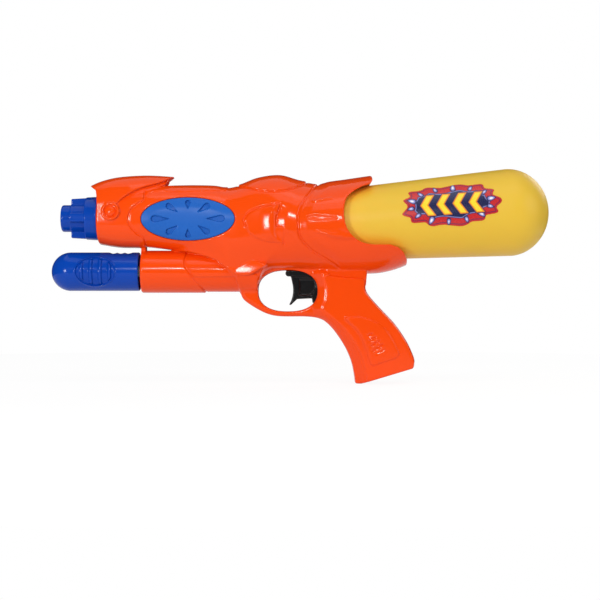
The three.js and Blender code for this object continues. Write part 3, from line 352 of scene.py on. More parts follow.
def netted(values, axes):
    """Cells that cross the surface of a sampled field, a point in each, and the faces between them."""
    cells = [n - 1 for n in values.shape]
    parts = [values[tuple(slice(c, n + c) for c, n in zip(corner, cells))] for corner in CORNERS]
    inside = sum((part < 0).astype(np.int8) for part in parts)
    at = np.nonzero((inside > 0) & (inside < 8))
    ends = [part[at] for part in parts]
    total = np.zeros((len(at[0]), 3))
    hits = np.zeros((len(at[0]), 1))
    for a, first in enumerate(CORNERS):
        for b, second in enumerate(CORNERS):
            if a < b and np.abs(np.subtract(first, second)).sum() == 1:
                crossing = ((ends[a] < 0) != (ends[b] < 0))[:, None]
                share = (ends[a] / np.where(ends[a] == ends[b], 1, ends[a] - ends[b]))[:, None]
                total += crossing * (np.array(first) + share * np.subtract(second, first))
                hits += crossing
    points = [a[0] for a in axes] + (axes[0][1] - axes[0][0]) * (np.stack(at, 1) + total / hits)
    index = np.full(cells, -1)
    index[at] = np.arange(len(points))
    return index, points, crossing_faces(values < 0, index)


def skin(field, low, high, step):
    """Points, in millimetres, and four-sided faces on the zero surface of a field."""
    axes = grid_axes(low, high, step)
    _, points, faces = netted(untangled(sampled(field, axes)), axes)
    return settled(field, points, step), faces


def cell_corners(grid):
    """A grid's values at the four corners of its cells, in turn."""
    return [grid[..., :-1, :-1], grid[..., 1:, :-1], grid[..., 1:, 1:], grid[..., :-1, 1:]]


def crossing_faces(inside, index):
    """A face round each grid edge that crosses the surface, turned outwards."""
    faces = []
    for axis in range(3):
        order = (axis, (axis + 1) % 3, (axis + 2) % 3)
        held = np.transpose(inside, order)[:, 1:-1, 1:-1]
        ring = cell_corners(np.transpose(index, order))
        leaving, entering = held[:-1] & ~held[1:], ~held[:-1] & held[1:]
        faces.append(np.stack([r[leaving] for r in ring], 1))
        faces.append(np.stack([r[entering] for r in ring[::-1]], 1))
    return np.concatenate(faces)


def mesh_object(name, points, faces=(), material=None):
    """An object of a smooth mesh, given in millimetres."""
    mesh = bpy.data.meshes.new(name)
    mesh.from_pydata((np.asarray(points) * MM).tolist(), [], np.asarray(faces).tolist())
    mesh.shade_smooth()
    if material:
        mesh.materials.append(material)
    return bpy.data.objects.new(name, mesh)


def linked(made):
    """An object, put into the scene."""
    bpy.context.scene.collection.objects.link(made)
    return made


def piece(name, points, faces, material, body, slot, nodes=()):
    """A mesh piece that rides on a body and stands for nodes."""
    made = linked(mesh_object(name, points, faces, material))
    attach(made, body)
    if nodes:
        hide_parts(*nodes)
    return made


def revolved(profile, sides):
    """Points and faces of a closed profile of (along, radius) turned about the X axis."""
    along, radius = np.array(profile, float).T
    angle = 2 * np.pi * np.arange(sides) / sides
    across = np.outer(radius, np.sin(angle)), np.outer(radius, np.cos(angle))
    points = np.stack([np.repeat(along[:, None], sides, 1), *across], 2)
    i, k = np.meshgrid(np.arange(len(along)), np.arange(sides), indexing="ij")
    ahead, beside = (i + 1) % len(along), (k + 1) % sides
    corners = [i * sides + k, ahead * sides + k, ahead * sides + beside, i * sides + beside]
    return points.reshape(-1, 3), np.stack(corners, 2).reshape(-1, 4)


# Forms of the housing

# Distance behind the muzzle, height above the bore, depth below it, half width, squareness
BARREL = [
    (0, 17.6, 19.5, 19.2, 2.4),
    (17.6, 22.2, 22.2, 21.2, 2.6),
    (37.6, 24.4, 22.8, 22.6, 2.6),
    (59.2, 25.4, 25.2, 23.2, 2.6),
    (68, 25.6, 26.6, 23.5, 2.6),
    (78, 25.7, 28.6, 24, 2.6),
    (93.6, 25.3, 32.3, 24.6, 2.6),
    (103, 24.1, 38, 25.6, 2.6),
    (113.6, 26.2, 41, 27.2, 2.55),
    (128, 31.6, 41.4, 28.8, 2.4),
    (145.6, 33.7, 41.3, 30.6, 2.25),
    (161.6, 29.6, 41.6, 32, 2.1),
    (178, 27, 43, 32.6, 2),
    (192, 26, 44, 32.8, 2),
    (206, 26, 44, 32.8, 2),
]
# Places and sizes about the muzzle
NOSE_S = 1.0
CREST_TOP = [(-5.4, 25.7), (1.6, 28.9), (11.2, 31.7), (20.8, 33.2), (35.2, 34.1), (44.8, 34.1), (60.6, 33.2)]
CREST_FOOT = 20
ROUNDEL, ROUNDEL_RADIUS, ROUNDEL_RISE, DOME_RADIUS = (12.8, 4.6), 7.2, 1.9, 4.3
OVAL, OVAL_HALF, PANEL_RIM = (73.7, -1.5), (37.1, 17.1), 0.3
CRESCENT, CRESCENT_HALF = (67.4, -1.5), (41.2, 21.4)
HORN = (120, -38)
# Half sizes of the tab between the barrel and the pump tube, and the tube
TAB = (1.8, 6, 12)
TUBE_RADIUS, TUBE_LENGTH = 16.1, 92.8
# The finger opening, the grip and its grooves
GUARD_HALF, GUARD_POWER = (23.6, 16.4), 2.4
GRIP_HALF, GRIP_EDGE, GUARD_THICK, FOOT_Z = 15.5, 2.4, 9.5, 0.15
GRIP_DOWN, GROOVE_START, GROOVE_PITCH = (0.52, -0.854), 61.6, 3.9
# The collar and the tank, along the tank's axis
COLLAR_LAP = 3
COLLAR = [(-8, 33.5), (20, 35), (36, 35.7), (57, 37.2), (88, 38.6)]
COLLAR_DEPTH = [(-8, 34), (20, 37), (31, 39), (56, 40.8), (67, 39.8), (76.5, 37.6), (90, 33)]
CUP_U = 10.8
SHOULDER_U, NECK_RADIUS, SHOULDER_RADIUS = (13, 33), 12.5, 28.4
TANK_LENGTH, TANK_ROUND, TANK_TAPER = 197.55, 32, math.radians(2.7)


def tank_radius(u):
    """Outside of the tank along its axis."""
    start, end = SHOULDER_U
    t = (end - np.clip(u, start, end)) / (end - start)
    shoulder = NECK_RADIUS + (SHOULDER_RADIUS - NECK_RADIUS) * np.sqrt(1 - t * t)
    cone = SHOULDER_RADIUS + (np.minimum(u, TANK_LENGTH - TANK_ROUND) - end) * math.tan(TANK_TAPER)
    t = np.clip((u - TANK_LENGTH + TANK_ROUND) / TANK_ROUND, 0, 1)
    return np.where(u < end, shoulder, cone * np.sqrt(1 - t * t))


BARREL_ABOVE, BARREL_BELOW, BARREL_HALF, BARREL_POWER = [
    table([(row[0], row[i]) for row in BARREL]) for i in (1, 2, 3, 4)
]


def barrel_field(s, y, h):
    """The bare barrel."""
    above, below, half, power = BARREL_ABOVE(s), BARREL_BELOW(s), BARREL_HALF(s), BARREL_POWER(s)
    return squared(y, h - (above - below) / 2, half, (above + below) / 2, power)


def ellipse(s, h, centre, half):
    """Distance to an oval on the side of the barrel."""
    return squared(s - centre[0], h - centre[1], *half, 2.0)


def barrel_relief(shape):
    """Raised and sunk shapes on the sides of the barrel."""
    leaf = side_map([
        *curve([(118.3, -2.8), (122.6, 2.4), (129.3, 5.8), (145.7, 9.7)]),
        *curve([(145.7, 9.7), (142.4, -2.8), (144.4, -13.7), (148.4, -20.7)])[1:],
        *curve([(148.4, -20.7), (133.5, -19.1), (122.6, -12.9), (118.3, -2.8)])[1:-1],
    ], 12)
    brow = curve([(166, 27.6), (155.1, 22.7), (142, 20.4), (128.7, 21.6), (113, 25.4)])
    pod = side_map([*brow, (112, 40), (167, 40)])
    rail = side_map([*curve([(40, 19), (53, 20.6), (70, 20.2), (104, 21.4)]), (104, 40), (40, 40)])
    nose = side_map([(-9, -40), (38.6, -40), (38.6, 40), (-9, 40)], 8)

    def relief(s, h):
        sleeve = shared(nose(s, h), -ellipse(s, h, CRESCENT, CRESCENT_HALF), 1.0)
        edge, top = leaf(s, h), pod(s, h)
        height = raised(sleeve, shape.sleeve / MM, 0.5) - scored(sleeve - 0.8, 0.35, 1.4)
        height = height + raised(edge, shape.leaf / MM, 0.6) - scored(edge - 0.9, 0.75, 1.4)
        height = height + ramp(-edge, -0.5, 5) * (1.5 * ramp(s, 130, 143) - 0.9 * ramp(s, 142, 149))
        height = height - 1.3 * ramp(-edge, -9, 0) * ramp(s, 140, 145) * ramp(h, -21, -13) * ramp(-h, -10, -3)
        return height + raised(top, 0.9, 0.7) - scored(top - 0.8, 0.4, 1.4) + raised(rail(s, h), 0.8, 0.6)

    return relief


def crest_field(shape):
    """Hood over the muzzle: a broad plate each side, and a narrower core under its tail."""
    tail = [
        (62.3, 33.4), (55.6, 29.8), (48.9, 27), (42, 24.9),
        (35.3, 22.5), (27.5, 18.6), (20.4, 13.2), (16.6, 8.8),
    ]
    hem = [(13, 5), (2, 2), (1.4, 17), (0.6, 21.3)]
    plate = side_map([(-5.4, 25.7), (-2, 34), (20, 40), (63.2, 40), *curve(tail), *hem], 12)
    core = side_map([(24, 14), (53.9, 25.6), (60.4, 33.2), (58, 40), (24, 40)], 12)
    crest_top = table(CREST_TOP)

    def field(s, y, h):
        swell = shape.sleeve / MM + (shape.overhang - shape.sleeve) / MM * ramp(h, 4, 13)
        top, half = crest_top(s), BARREL_HALF(s) + swell - 6 * ramp(s, 25, 62)
        hull = squared(y, h - (top - CREST_FOOT) / 2, half, (top + CREST_FOOT) / 2, 2.6)
        return np.minimum(shared(hull, plate(s, h), 0.7), shared(hull + 3.2, core(s, h), 0.7))

    return field


def roundel_field(s, h, plain):
    """Ring with a dome in it, on each side of the muzzle."""
    r = np.hypot(s - ROUNDEL[0], h - ROUNDEL[1])
    dome = ROUNDEL_RISE * np.sqrt(np.maximum(1 - (r / DOME_RADIUS) ** 2, 0))
    moat = raised(r - DOME_RADIUS - 1, ROUNDEL_RISE, 0.5)
    return shared(plain - 3.7 + moat - dome, r - ROUNDEL_RADIUS, 0.5)


def pump_field():
    """Pump tube with its raised front sleeve and the strip along its side."""
    sweep = curve([(36.6, 20), (35.6, 14), (34.6, 6.4), (37.4, 0), (42.1, -6.4), (51.6, -17.2), (54, -20)])
    sleeve = side_map([(-9, 30), (36.6, 30), *sweep, (54, -30), (-9, -30)], 8)
    strip = side_map([(38.4, 3), (74, 2.6), (78.5, -4.2), (42.4, -4.4)])

    def field(y, s, h):
        tube = np.hypot(y, h) - TUBE_RADIUS
        edge = sleeve(s, h)
        tube = tube - raised(edge, 0.8, 0.6) + scored(edge - 0.7, 0.35) - raised(strip(s, h), 1.0, 0.6)
        return shared(tube, np.abs(s - TUBE_LENGTH / 2) - TUBE_LENGTH / 2, 1.6)

    return field


def skirt_field():
    """Skirt of the barrel draped over the rear of the pump tube, with its horn and band."""
    hem = [(61, -26), (74.4, -27.3), (90.9, -31.8), (99, -36.3), (107.2, -43.2), (112, -51.5), (114.2, -60)]
    drape = side_map([(60, -8), (61, -25), *curve(hem), (115, -70), (142, -70), (150, -8)], 12)
    brow = curve([(102.4, -30.7), (117.6, -31.9), (136, -37.1)])
    horn = side_map([*brow, *curve([(131.2, -40.4), (121.6, -45.4), (111, -45.1)]), (105.6, -37.9)], 8)
    tip = [(112.4, -44.6), (127.2, -45.1), (128, -51.5), (127.6, -57.1), (120.8, -61.5), (114.4, -58.7)]
    band = side_map(loop(tip), 8)

    def field(s, y, h, barrel, tube):
        hull = united(barrel, tube - 0.9, 2 + 14 * ramp(s, 60, 80)) - raised(band(s, h), 1.1, 0.8)
        along, rise = s - HORN[0], h - HORN[1]
        flat = np.abs(y) - 22.3 + 0.1 * rise + 0.012 * rise * rise - 0.25 * along + 0.002 * along * along
        return united(shared(hull, drape(s, h), 0.8), shared(flat, horn(s, h), 1.2), 0.6)

    return field


def collar_field():
    """Collar round the tank with an ear above and a jaw below, and the blades moulded on its side."""
    plate = [
        (18, 34.2), (8, 23.7), (0, 12), (-1.7, -1.6), (-0.3, -9.6),
        (7.8, -19.2), (21.9, -29.1), (29, -35.4), (32, -42),
    ]
    jaw = [(33, -48), (57, -46), (70, -44), (78.4, -40.4), (81.4, -36), (81, -31.8), (78, -26), (74.2, -22.3)]
    mouth = [
        (67.9, -19.6), (50.9, -17.9), (41, -12.8), (34.7, -3.3),
        (33.8, 9.2), (37.4, 20.2), (47.3, 26.8), (56.6, 29.7),
    ]
    ear = [(58.6, 32.6), (58.6, 36.2), (57, 38.6), (22, 40)]
    outline = side_map(on_tank([*curve(plate), *jaw, *curve(mouth), *ear]), 12)
    seam = moved(plate, COLLAR_LAP, 0)
    front = side_map(on_tank([(-190, 60), (18, 60), *curve(seam), (36, -60), (-190, -60)]), 12)
    groove = side_map([(5, 131.4), (12, 132.6), (29.2, 130.6), (28.4, 129.6), (14, 128.4), (6, 129.8)])
    streak = side_map([(9, 144.4), (25, 146.8), (25.4, 145.6), (9.6, 142.8)])
    blade = side_map([(12.8, 119.9), (28.8, 118.7), (43.2, 115), (36, 113.8), (24.8, 115.4)])
    collar_radius, collar_depth = table(COLLAR), table(COLLAR_DEPTH)

    def field(x, y, z, u, w):
        edge, radius = outline(x, z), collar_radius(u)
        around = squared(y, w, radius, np.where(w < 0, collar_depth(u), radius), 2.0)
        around = around + raised(groove(x, z), 0.7, 1.2) + 1.1 * ramp(edge, -8, 0) * ramp(-u, -32, -18)
        around = around - raised(streak(x, z), 0.7, 1.2) - raised(blade(x, z), 1.5, 4.0)
        return shared(around, edge, 1.0), scored(edge - 0.9, 0.9, 1.6) * (u < 34), front(x, z)

    return field


def grip_field():
    """Grip swelling from its outline, with a raised field and a triangle of grooves, and the guard."""
    ridge = [
        (26, 14), (28.8, 4), (28.6, -6), (26, -13.4), (28.2, -18),
        (36, -24.6), (44, -31.6), (54, -46), (59.6, -61.3), (61.2, -71),
    ]
    rear = [
        (101, -56), (99.6, -51.1), (94.5, -40.1), (85.3, -26.5),
        (74.1, -14.5), (64.9, -4.1), (61.9, 1.9), (62.3, 7.9),
    ]
    outline = side_map([*curve(ridge), (63, -76), (100, -64), *curve(rear), (60, 10.8), (44, 12)], 12)
    front = curve([(44.5, -21.4), (55.8, -32.9), (61.7, -45.7), (65.2, -57.6)])
    back = curve([(88, -49.6), (80.1, -34.5), (71.1, -25.7), (57, -20.4)])
    panel = side_map([*front, (67.4, -59.2), (86.3, -52.7), *back], 4, 2)
    corners = [(62.9, -33.4), (65, -33), (71.4, -38.6), (76.6, -45), (75.6, -46.6), (69, -50), (67.6, -49.2)]
    triangle = side_map(loop(corners))
    bow = [
        (-37.7, -1.7), (-34.7, -7.3), (-25.9, -13.5), (-15.9, -18.4), (-5.5, -20.3), (14.9, -20.5),
        (24.9, -22), (31.3, -25.7), (38.5, -33.7), (45.7, -44.9), (50.5, -56.1), (52.9, -67.3), (53.8, -76),
    ]
    inside = [(68, -76), (64, -56), (46, -26), (34, -10), (34, 20), (-30, 26), (-38, 12)]
    guard = side_map([*curve(bow), *inside], 12, 3)
    root = side_map([(30, 8), (30, 28), (66, 28), (62.9, 16), (61.9, 4), (36, -4)], 12)

    def field(y, s, h):
        away = outline(s, h)
        edge = np.maximum(away + GRIP_EDGE, 0)
        down = GRIP_DOWN[0] * s + GRIP_DOWN[1] * h
        lines = np.abs((down - GROOVE_START) % GROOVE_PITCH - GROOVE_PITCH / 2)
        lines = np.maximum(lines, triangle(s, h) + 0.6)
        height = raised(panel(s, h), 1.2, 0.8) - scored(lines, 1.0, 1.2)
        body = squared(edge, y, GRIP_EDGE, GRIP_HALF, 2.6) - height
        body = united(body, extruded(root(s, h), y, GRIP_HALF - 2, 2.0), 0.6)
        step = 0.6 + 0.8 * ramp(-h, 18, 26)
        half = np.maximum(GUARD_THICK, GRIP_HALF - step - 0.9 * np.maximum(away, 0))
        return united(body, extruded(guard(s, h), y, half, 3.2), 0.8)

    return field


def housing_field(shape):
    """Outside of the housing, cut for what it holds."""
    relief, crest, pump, skirt = barrel_relief(shape), crest_field(shape), pump_field(), skirt_field()
    collar, grip = collar_field(), grip_field()
    arm = [(-25, 14), (8, 14), (14, -3), (-6, -4), (-25, -2)]
    slots = [
        (side_map([(-4, 18), (33, 18), (33, -8), (26, -14), (6, -14)], 8), 4.9),
        (side_map([(-7.5, 10), (29, 10), (31, 25), (-8.5, 25)], 8), 6.9),
        (side_map(moved(arm, *GUARD_TO_PIVOT), 8), 10.5),
    ]
    base, down = np.array(BASE["pos_m"]) / MM, BASE["axis"]

    def field(x, y, z):
        s, h = x - MUZZLE_X, z - BORE_Z
        at_guard, at_pump = (x - GUARD_X, z - GUARD_Z), (x - PUMP_X, z - PUMP_Z)
        u = (x - NECK_X) * AXIS_X + (z - NECK_Z) * AXIS_Z
        w = (z - NECK_Z) * AXIS_X - (x - NECK_X) * AXIS_Z
        plain = barrel_field(s, y, h)
        tube = pump(y, *at_pump)
        ring, moat, front = collar(x, y, z, u, w)
        ends = np.maximum(NOSE_S + 0.5 * (h / 17) ** 2 - s, front)
        body = united(shared(plain - relief(s, h) + moat, ends, 1.4), crest(s, y, h), 0.6)
        body = united(body, roundel_field(s, h, plain), 0.5)
        body = united(body, tube, 0.6 + 1.4 * ramp(s, 58, 85))
        tab = np.maximum(np.abs(at_pump[0] - TAB[0]) - TAB[0], np.abs(z - (PUMP_Z + BORE_Z) / 2) - TAB[2])
        body = united(body, np.maximum(tab, np.abs(y) - TAB[1]), 0.8)
        body = np.minimum(body, skirt(s, y, h, plain, tube))
        body = united(united(body, grip(y, *at_guard), 1.6), ring, 0.4)
        foot = np.maximum((x - base[0]) * down[0] + (z - base[2]) * down[2], FOOT_Z - z)
        body = shared(body, foot, 1.6)
        body = carved(body, squared(*at_guard, *GUARD_HALF, GUARD_POWER), 1.6)
        pocket = np.maximum(plain - 8, -plain - shape.pocket / MM)
        body = carved(body, np.maximum(ellipse(s, h, OVAL, OVAL_HALF), pocket), 0.4)
        for outline, half in slots:
            body = carved(body, extruded(outline(*at_guard), y, half, 0.4), 0.5)
        body = carved(body, np.maximum(np.hypot(y, w) - tank_radius(u) - shape.cup / MM, CUP_U - u), 0.9)
        bore = np.hypot(y, at_pump[1]) - PUMP_BORE
        return carved(body, np.maximum(bore, x - GLAND_HIGH[0] + FIT), 0.8)

    return field


# Forms of the other pieces

# Inner and outer end and half width of a petal along the oval, across it and between
PETALS = [((14.2, 0), (29, 0), 2.6), ((0, 7.6), (0, 14.6), 2.1), ((7.7, 5.1), (16.9, 11.4), 2.3)]
PETAL_FLANK = [(0, 0), (0.35, 0.42), (0.6, 0.82), (0.78, 1), (0.9, 0.84), (0.97, 0.5), (1, 0)]


def panel_field(shape):
    """Oval panel that follows the barrel, with a ring of drop-shaped hollows."""
    petals = []
    for inner, outer, half in PETALS:
        inner, outer = np.array(inner), np.array(outer)
        side = half * np.array([inner[1] - outer[1], outer[0] - inner[0]]) / np.hypot(*(outer - inner))
        flank = [inner + along * (outer - inner) + wide * side for along, wide in PETAL_FLANK]
        drop = [*flank, *(p - 2 * ((p - inner) @ side) / half**2 * side for p in flank[-2:0:-1])]
        for sx, sz in ((1, 1), (-1, 1), (1, -1), (-1, -1)):
            petals.append(side_map([(OVAL[0] + sx * px, OVAL[1] + sz * pz) for px, pz in drop], 3))

    def field(x, y, z):
        s, h = x - MUZZLE_X, z - BORE_Z
        plain, rim = barrel_field(s, y, h), ellipse(s, h, OVAL, OVAL_HALF)
        dome = PANEL_RIM + (shape.proud / MM - PANEL_RIM) * ramp(-rim, -1, 9)
        hollow = np.min([petal(s, h) for petal in petals], 0)
        dome = dome - raised(hollow, shape.petal / MM, 0.7)
        body = np.maximum(plain - dome, -plain - shape.pocket / MM + 0.1)
        return np.maximum(shared(body, rim + FIT, 0.8), -y)

    return field


# Distances from the cap's rear, and radii
CAP_COLLAR, CAP_RIBS, CAP_LENGTH = 9.8, 21.6, 29.4
CAP_RADIUS, CAP_TAPER, CAP_CORE, CAP_TIP, RIB_HALF = 17.4, 0.055, 11.2, 10.7, 3.4


def cap_field(x, y, z):
    """Nozzle cap: a collar, four ribs on a core, and the tip with its outlet."""
    h = z - BORE_Z
    front = MUZZLE_X + NOSE_S - 0.2 - x
    r = np.hypot(y, h)
    cone = r - CAP_RADIUS + CAP_TAPER * front
    ribs = np.maximum(np.minimum(np.abs(y), np.abs(h)) - RIB_HALF, front - CAP_RIBS)
    body = shared(cone, np.minimum(front - CAP_COLLAR, shared(cone + 0.5, ribs, 0.8)), 0.8)
    core = np.maximum(r - CAP_CORE, front - CAP_RIBS)
    tip = shared(r - CAP_TIP, front - CAP_LENGTH, 2.0)
    body = united(united(body, core, 0.8), tip, 0.6)
    body = shared(body, -front, 0.8)
    outlet = np.minimum(np.maximum(r - 5.6, 27 - front), np.maximum(r - 1.1, 20 - front))
    socket = np.maximum(r - 13.5, front - 7)
    return carved(carved(body, outlet, 0.6), socket, 0.4)


PATCH_HALF, RIB_PITCH, SCALLOP_PITCH, HANDLE_WALL = (15.6, 11.4), 7.4, 6, 1.8


def handle_field(x, y, z):
    """Pump handle: a round-nosed sleeve with a ribbed oval patch each side and scallops on top."""
    radius = (HANDLE_HIGH[2] - HANDLE_LOW[2]) / 2
    nose, rear = HANDLE_LOW[0] + radius, HANDLE_HIGH[0]
    middle = HANDLE_LOW[0] + 0.52 * (rear - HANDLE_LOW[0])
    h = z - PUMP_Z
    body = np.sqrt(np.minimum(x - nose, 0) ** 2 + y * y + h * h) - radius
    patch = squared(x - middle, h, *PATCH_HALF, 2.0)
    body = body + raised(patch, 0.8, 0.8) - raised(np.abs(patch - 0.4) - 0.5, 0.5, 0.8)
    for i in range(4):
        rib = np.maximum(np.abs(x - middle + RIB_PITCH * (1.5 - i)) - 1.2, patch + 1.4)
        body = body - raised(rib, 1.6, 1.2)
    for i in range(3):
        body = carved(body, np.hypot(x - rear + 9 + SCALLOP_PITCH * i, h - radius - 3.4) - 4.4, 0.8)
    body = shared(body, x - rear, 1.2)
    return carved(body, np.maximum(np.hypot(y, h) - radius + HANDLE_WALL, rear - 4 - x), 0.5)


BLADE_HALF, FLANGE_HALF, HUB_RADIUS = 4.5, 6.5, 4.5


def trigger_field():
    """Trigger blade with its hollow flank, the flange over it and the pivot hub."""
    face = curve([(2.5, 11.1), (4.1, 3), (4, -2.6), (2.8, -7.4), (0.9, -11.4)])
    toe = [(2.6, -11.2), (7.4, -6.6), (19.3, -6), (19.7, -9.6), (21.7, -9.9)]
    back = [(25, -7), (27, 4), (26, 16), (12, 20), (-3, 20), (-1, 15)]
    blade = side_map([*face, *toe, *back], 6)
    web = side_map([(9.2, 9), (9.6, 0), (8.6, -3.6), (19, -3.2), (22.4, 3), (22, 9)], 6, 2)
    flange = side_map([(0.4, 11.6), (17, 11), (20, 14.6), (20, 16.2), (0.4, 16.2)], 6)

    def field(x, y, z):
        s, h = x - GUARD_X, z - GUARD_Z
        body = extruded(blade(s, h), y, BLADE_HALF - raised(web(s, h), 0.8, 1.4), 0.9)
        body = united(body, extruded(flange(s, h), y, FLANGE_HALF, 0.6), 0.6)
        nub = np.hypot(s - 0.4, h - 13.9) - 2.3
        hub = np.hypot(x - PIVOT_X, z - PIVOT_Z) - HUB_RADIUS
        body = united(body, extruded(nub, y, FLANGE_HALF, 0.7), 0.4)
        return np.minimum(body, extruded(hub, y, FLANGE_HALF, 0.5))

    return field


HEAD_RADIUS, HEAD_HEIGHT, SHANK_RADIUS, SCREW_STEP = 2.9, 2.3, 1.5, 0.2


def screw_field(length):
    """Pan-head screw along Y with a cross recess, its head's underside at zero."""

    def field(x, y, z):
        r = np.hypot(x, z)
        head = shared(r - HEAD_RADIUS, y - HEAD_HEIGHT + 0.06 * r * r, 0.7)
        cross = np.maximum(np.minimum(np.abs(x), np.abs(z)) - 0.42, r - 1.9 + 0.6 * (HEAD_HEIGHT - y))
        head = carved(np.maximum(head, -y), np.maximum(cross, 0.9 - y), 0.15)
        return np.minimum(head, np.maximum(r - SHANK_RADIUS, np.maximum(y - 0.5, -y - length)))

    return field


# Materials

# Spots of flow marks, worn polish, drawn streaks and printing grain, and how deep light enters plastic
FLOW_SIZE, WEAR_SIZE, STREAK_SIZE, PRINT_SIZE = 45 * MM, 9 * MM, 0.5 * MM, 0.4 * MM
SCATTER_DEPTH = 4 * MM
# Share of the floor that glows to the camera and in reflections, and how brightly
FLOOR_SEEN, FLOOR_MIRRORED, FLOOR_GLOW = 0.88, 0.5, 1.04


def add(tree, kind, settings=None, inputs=None):
    """Adds a node, sets its properties, and fills or links its inputs."""
    made = tree.nodes.new(kind)
    for name, value in (settings or {}).items():
        setattr(made, name, value)
    for name, value in (inputs or {}).items():
        if isinstance(value, bpy.types.NodeSocket):
            tree.links.new(value, made.inputs[name])
        else:
            made.inputs[name].default_value = value
    return made


def new_material(name):
    """An empty material and its tree."""
    material = bpy.data.materials.new(name)
    material.use_nodes = True
    material.node_tree.nodes.clear()
    return material, material.node_tree


def moulded(name, colour, roughness, grain, depth, specular=0.5, scatter=0.0):
    """Moulded plastic: a faint flow mottle in the colour, polish that varies, and a fine skin."""
    material, tree = new_material(name)
    place = add(tree, "ShaderNodeTexCoord").outputs["Object"]
    flow = add(tree, "ShaderNodeTexNoise", inputs={"Vector": place, "Scale": 1 / FLOW_SIZE, "Detail": 3.0})
    tint = add(tree, "ShaderNodeMapRange", inputs={
        "Value": flow.outputs["Fac"], "To Min": 0.95, "To Max": 1.05,
    })
    shade = add(tree, "ShaderNodeVectorMath", {"operation": "SCALE"}, {
        0: colour, "Scale": tint.outputs["Result"],
    })
    wear = add(tree, "ShaderNodeTexNoise", inputs={"Vector": place, "Scale": 1 / WEAR_SIZE, "Detail": 4.0})
    polish = add(tree, "ShaderNodeMapRange", inputs={
        "Value": wear.outputs["Fac"], "To Min": roughness * 0.8, "To Max": roughness * 1.2,
    })
    peel = add(tree, "ShaderNodeTexNoise", inputs={"Vector": place, "Scale": 1 / grain, "Detail": 2.0})
    bump = add(tree, "ShaderNodeBump", inputs={
        "Strength": 1.0, "Distance": depth, "Height": peel.outputs["Fac"],
    })
    shader = add(tree, "ShaderNodeBsdfPrincipled", inputs={
        "Base Color": shade.outputs["Vector"], "Roughness": polish.outputs["Result"],
        "Specular IOR Level": specular, "Normal": bump.outputs["Normal"],
        "Subsurface Weight": scatter, "Subsurface Scale": SCATTER_DEPTH,
    })
    add(tree, "ShaderNodeOutputMaterial", inputs={"Surface": shader.outputs["BSDF"]})
    return material


def orange_plastic(colours):
    """Gloss ABS from a polished mould."""
    return moulded("Moulded ABS, polished orange", colours.orange, 0.13, 6 * MM, 0.012 * MM, 0.27)


def blue_plastic(colours):
    """Gloss ABS from a polished mould."""
    return moulded("Moulded ABS, polished blue", colours.blue, 0.16, 5 * MM, 0.012 * MM, 0.22)


def panel_plastic(colours):
    """The same ABS with a lighter blue base colour."""
    return moulded("Moulded ABS, lighter blue", colours.panel, 0.28, 5 * MM, 0.012 * MM, 0.15)


def black_plastic(colours):
    """Acetal, semi-gloss from the mould."""
    return moulded("Moulded acetal, black", colours.black, 0.25, 2 * MM, 0.01 * MM, 0.3)


def yellow_plastic(colours):
    """Blow-moulded polyethylene: satin, slightly wavy and a little translucent."""
    return moulded("Blown polyethylene, satin yellow", colours.yellow, 0.42, 14 * MM, 0.1 * MM, 0.35, 0.1)


def natural_plastic(colours):
    """Unpigmented polypropylene: milky and semi-matt."""
    return moulded("Moulded polypropylene, natural", colours.natural, 0.4, 3 * MM, 0.02 * MM, 0.5, 0.2)


def vinyl_tube(colours):
    """Extruded flexible vinyl: pale grey, with a soft gloss."""
    return moulded("Extruded vinyl, clear grey", colours.vinyl, 0.25, 8 * MM, 0.05 * MM, 0.5, 0.3)


def seal_rubber(colours):
    """Compression-moulded nitrile rubber: dull and nearly black."""
    return moulded("Moulded nitrile rubber", colours.rubber, 0.6, 0.8 * MM, 0.02 * MM)


def zinc_steel():
    """Zinc-plated steel wire and screws, with drawn streaks in the plating."""
    material, tree = new_material("Zinc-plated steel, drawn")
    place = add(tree, "ShaderNodeTexCoord").outputs["Object"]
    drawn = add(tree, "ShaderNodeMapping", inputs={"Vector": place, "Scale": (1.0, 0.15, 1.0)})
    streak = add(tree, "ShaderNodeTexNoise", inputs={
        "Vector": drawn.outputs["Vector"], "Scale": 1 / STREAK_SIZE,
    })
    polish = add(tree, "ShaderNodeMapRange", inputs={
        "Value": streak.outputs["Fac"], "To Min": 0.25, "To Max": 0.4,
    })
    shader = add(tree, "ShaderNodeBsdfPrincipled", inputs={
        "Base Color": (*linear("#B9BBBE"), 1), "Metallic": 1.0, "Roughness": polish.outputs["Result"],
    })
    add(tree, "ShaderNodeOutputMaterial", inputs={"Surface": shader.outputs["BSDF"]})
    return material


def printed_film():
    """Gloss vinyl film: its colours are stored on the mesh, with the press's fine grain over them."""
    material, tree = new_material("Printed vinyl film")
    ink = add(tree, "ShaderNodeAttribute", {"attribute_name": "ink"})
    place = add(tree, "ShaderNodeTexCoord").outputs["Object"]
    grain = add(tree, "ShaderNodeTexNoise", inputs={"Vector": place, "Scale": 1 / PRINT_SIZE, "Detail": 2.0})
    weight = add(tree, "ShaderNodeMapRange", inputs={
        "Value": grain.outputs["Fac"], "To Min": 0.92, "To Max": 1.06,
    })
    shade = add(tree, "ShaderNodeVectorMath", {"operation": "SCALE"}, {
        0: ink.outputs["Color"], "Scale": weight.outputs["Result"],
    })
    polish = add(tree, "ShaderNodeMapRange", inputs={
        "Value": grain.outputs["Fac"], "To Min": 0.22, "To Max": 0.32,
    })
    shader = add(tree, "ShaderNodeBsdfPrincipled", inputs={
        "Base Color": shade.outputs["Vector"], "Roughness": polish.outputs["Result"],
        "Specular IOR Level": 0.4,
    })
    add(tree, "ShaderNodeOutputMaterial", inputs={"Surface": shader.outputs["BSDF"]})
    return material


